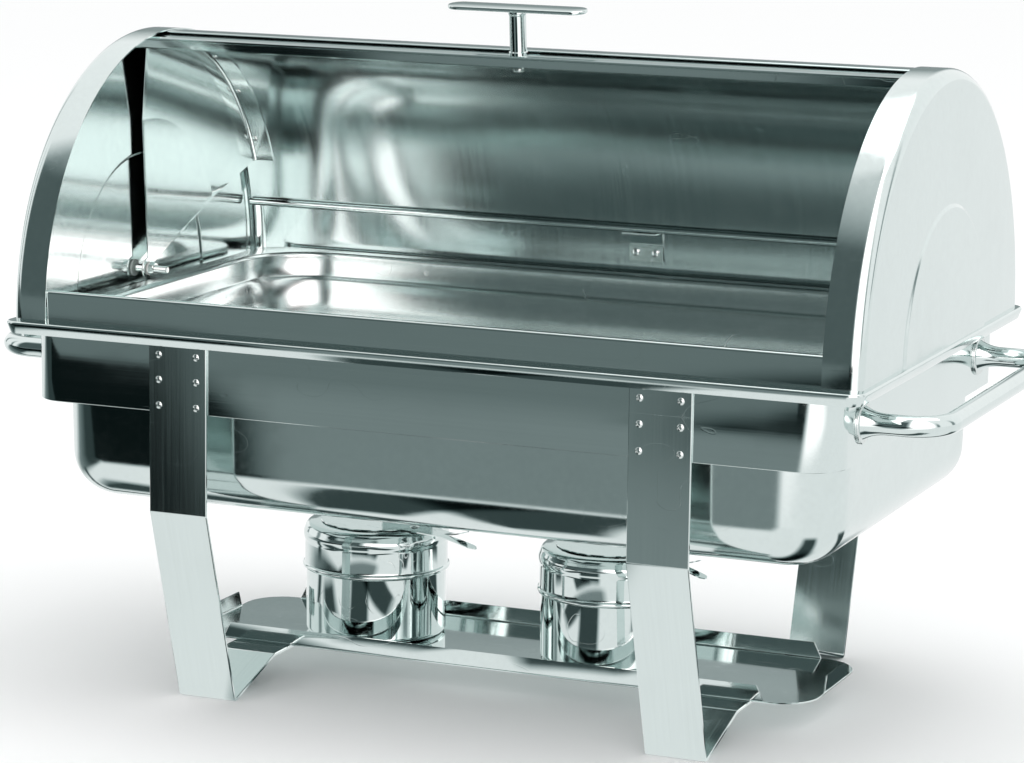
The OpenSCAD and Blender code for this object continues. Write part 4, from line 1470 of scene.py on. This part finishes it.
    def floor(self) -> None:
        """A plain pale table top to the camera, which for mirror rays glows with painted reflections of
        cards and strips.
        """
        s = self.floor_half
        mesh = bpy.data.meshes.new("floor")
        mesh.from_pydata([(-s, -s, 0), (s, -s, 0), (s, s, 0), (-s, s, 0)], [], [(0, 1, 2, 3)])
        material = bpy.data.materials.new("pale_floor")
        material.use_nodes = True
        g = Graph(material.node_tree)
        material.node_tree.nodes.clear()
        coord, parts = g.add("ShaderNodeTexCoord"), g.add("ShaderNodeSeparateXYZ")
        g.link(coord.outputs["Object"], parts.inputs[0])
        x, y = parts.outputs["X"], parts.outputs["Y"]
        # Painted reflection: mirror rays see an emission of the painted cards and strips instead of the lit
        # floor.
        plain, painted_reflection = g.add("ShaderNodeBsdfDiffuse"), g.add("ShaderNodeEmission")
        plain.inputs["Color"].default_value = (0.95, 0.96, 0.96, 1.0)
        g.link(self._cool(g, g.math("MULTIPLY", self._cards(g, x, y), self._rings(g, x, y))),
               painted_reflection.inputs["Color"])
        path, mix = g.add("ShaderNodeLightPath"), g.add("ShaderNodeMixShader")
        g.link(path.outputs["Is Glossy Ray"], mix.inputs[0])
        g.link(plain.outputs[0], mix.inputs[1])
        g.link(painted_reflection.outputs[0], mix.inputs[2])
        out = g.add("ShaderNodeOutputMaterial")
        g.link(mix.outputs[0], out.inputs["Surface"])
        mesh.materials.append(material)
        floor = bpy.data.objects.new("floor", mesh)
        bpy.context.scene.collection.objects.link(floor)

    def surroundings(self) -> None:
        """A white room, in which mirrors see a dark front-left corner and a few thin upright strips."""
        world = bpy.data.worlds.new("studio")
        world.use_nodes = True
        g = Graph(world.node_tree)
        world.node_tree.nodes.clear()
        coord, parts = g.add("ShaderNodeTexCoord"), g.add("ShaderNodeSeparateXYZ")
        g.link(coord.outputs["Generated"], parts.inputs[0])
        angle, _ = self._polar(g, parts.outputs["X"], parts.outputs["Y"])
        height = parts.outputs["Z"]
        dark = g.math("MULTIPLY", self._stripe(g, angle, -150.0, -88.0, 6.0),
                      g.ramp(height, 0.70, 0.93, 0.96, 0.35))
        behind = g.math("MULTIPLY", self._stripe(g, angle, 98.0, 126.0, 4.0),
                        g.ramp(height, 0.24, 0.5, 0.75, 0.0))
        dark = g.math("MAXIMUM", dark, behind)
        low = g.ramp(height, 0.3, 0.7, 0.75, 0.0)
        for start, end in ((-50, -46), (-20, -12), (24, 34), (150, 158), (-176, -168)):
            dark = g.math("MAXIMUM", dark, g.math("MULTIPLY", self._stripe(g, angle, start, end, 2.0), low))
        softbox = g.math("MULTIPLY", self._stripe(g, angle, -80.0, -30.0, 8.0), 1.6)
        mirror = g.math("ADD", g.math("SUBTRACT", 1.08, dark), softbox)
        path, mix = g.add("ShaderNodeLightPath"), g.add("ShaderNodeMix", data_type="FLOAT")
        mix.inputs["A"].default_value = self.room
        g.link(mirror, mix.inputs["B"])
        g.link(path.outputs["Is Glossy Ray"], mix.inputs["Factor"])
        background = g.add("ShaderNodeBackground")
        g.link(self._cool(g, mix.outputs["Result"]), background.inputs["Color"])
        out = g.add("ShaderNodeOutputWorld")
        g.link(background.outputs[0], out.inputs["Surface"])
        bpy.context.scene.world = world


def main() -> None:
    """Builds the studio and the chafer, sub-assembly by sub-assembly."""
    logging.basicConfig(level=logging.INFO, format="%(message)s")
    Studio().build()
    shop = Workshop()
    Stand(shop).build()
    DrawnPan(shop, "deep_water_pan", "water_pan", "water_pan", wall_half=(258 * MM, 157.5 * MM),
             corner_r=38 * MM, foot_r=28 * MM, rim_r=10 * MM, edge_h=7.7 * MM, lean=2 * MM,
             finish="drawn_pan", skirt_lean=2.2 * MM).build()
    DrawnPan(shop, "gastronorm_pan", "food_pan", "food_pan", wall_half=(252.5 * MM, 150 * MM),
             corner_r=50 * MM, foot_r=26 * MM, rim_r=24 * MM, edge_h=3.95 * MM, lean=6 * MM,
             finish="food_pan", bead_drop=16 * MM, bead_out=1.5 * MM).build()
    Hood(shop).build()
    RollCover(shop).build()
    for side in Side:
        Burner(shop, side).build()


if __name__ == "__main__":
    main()
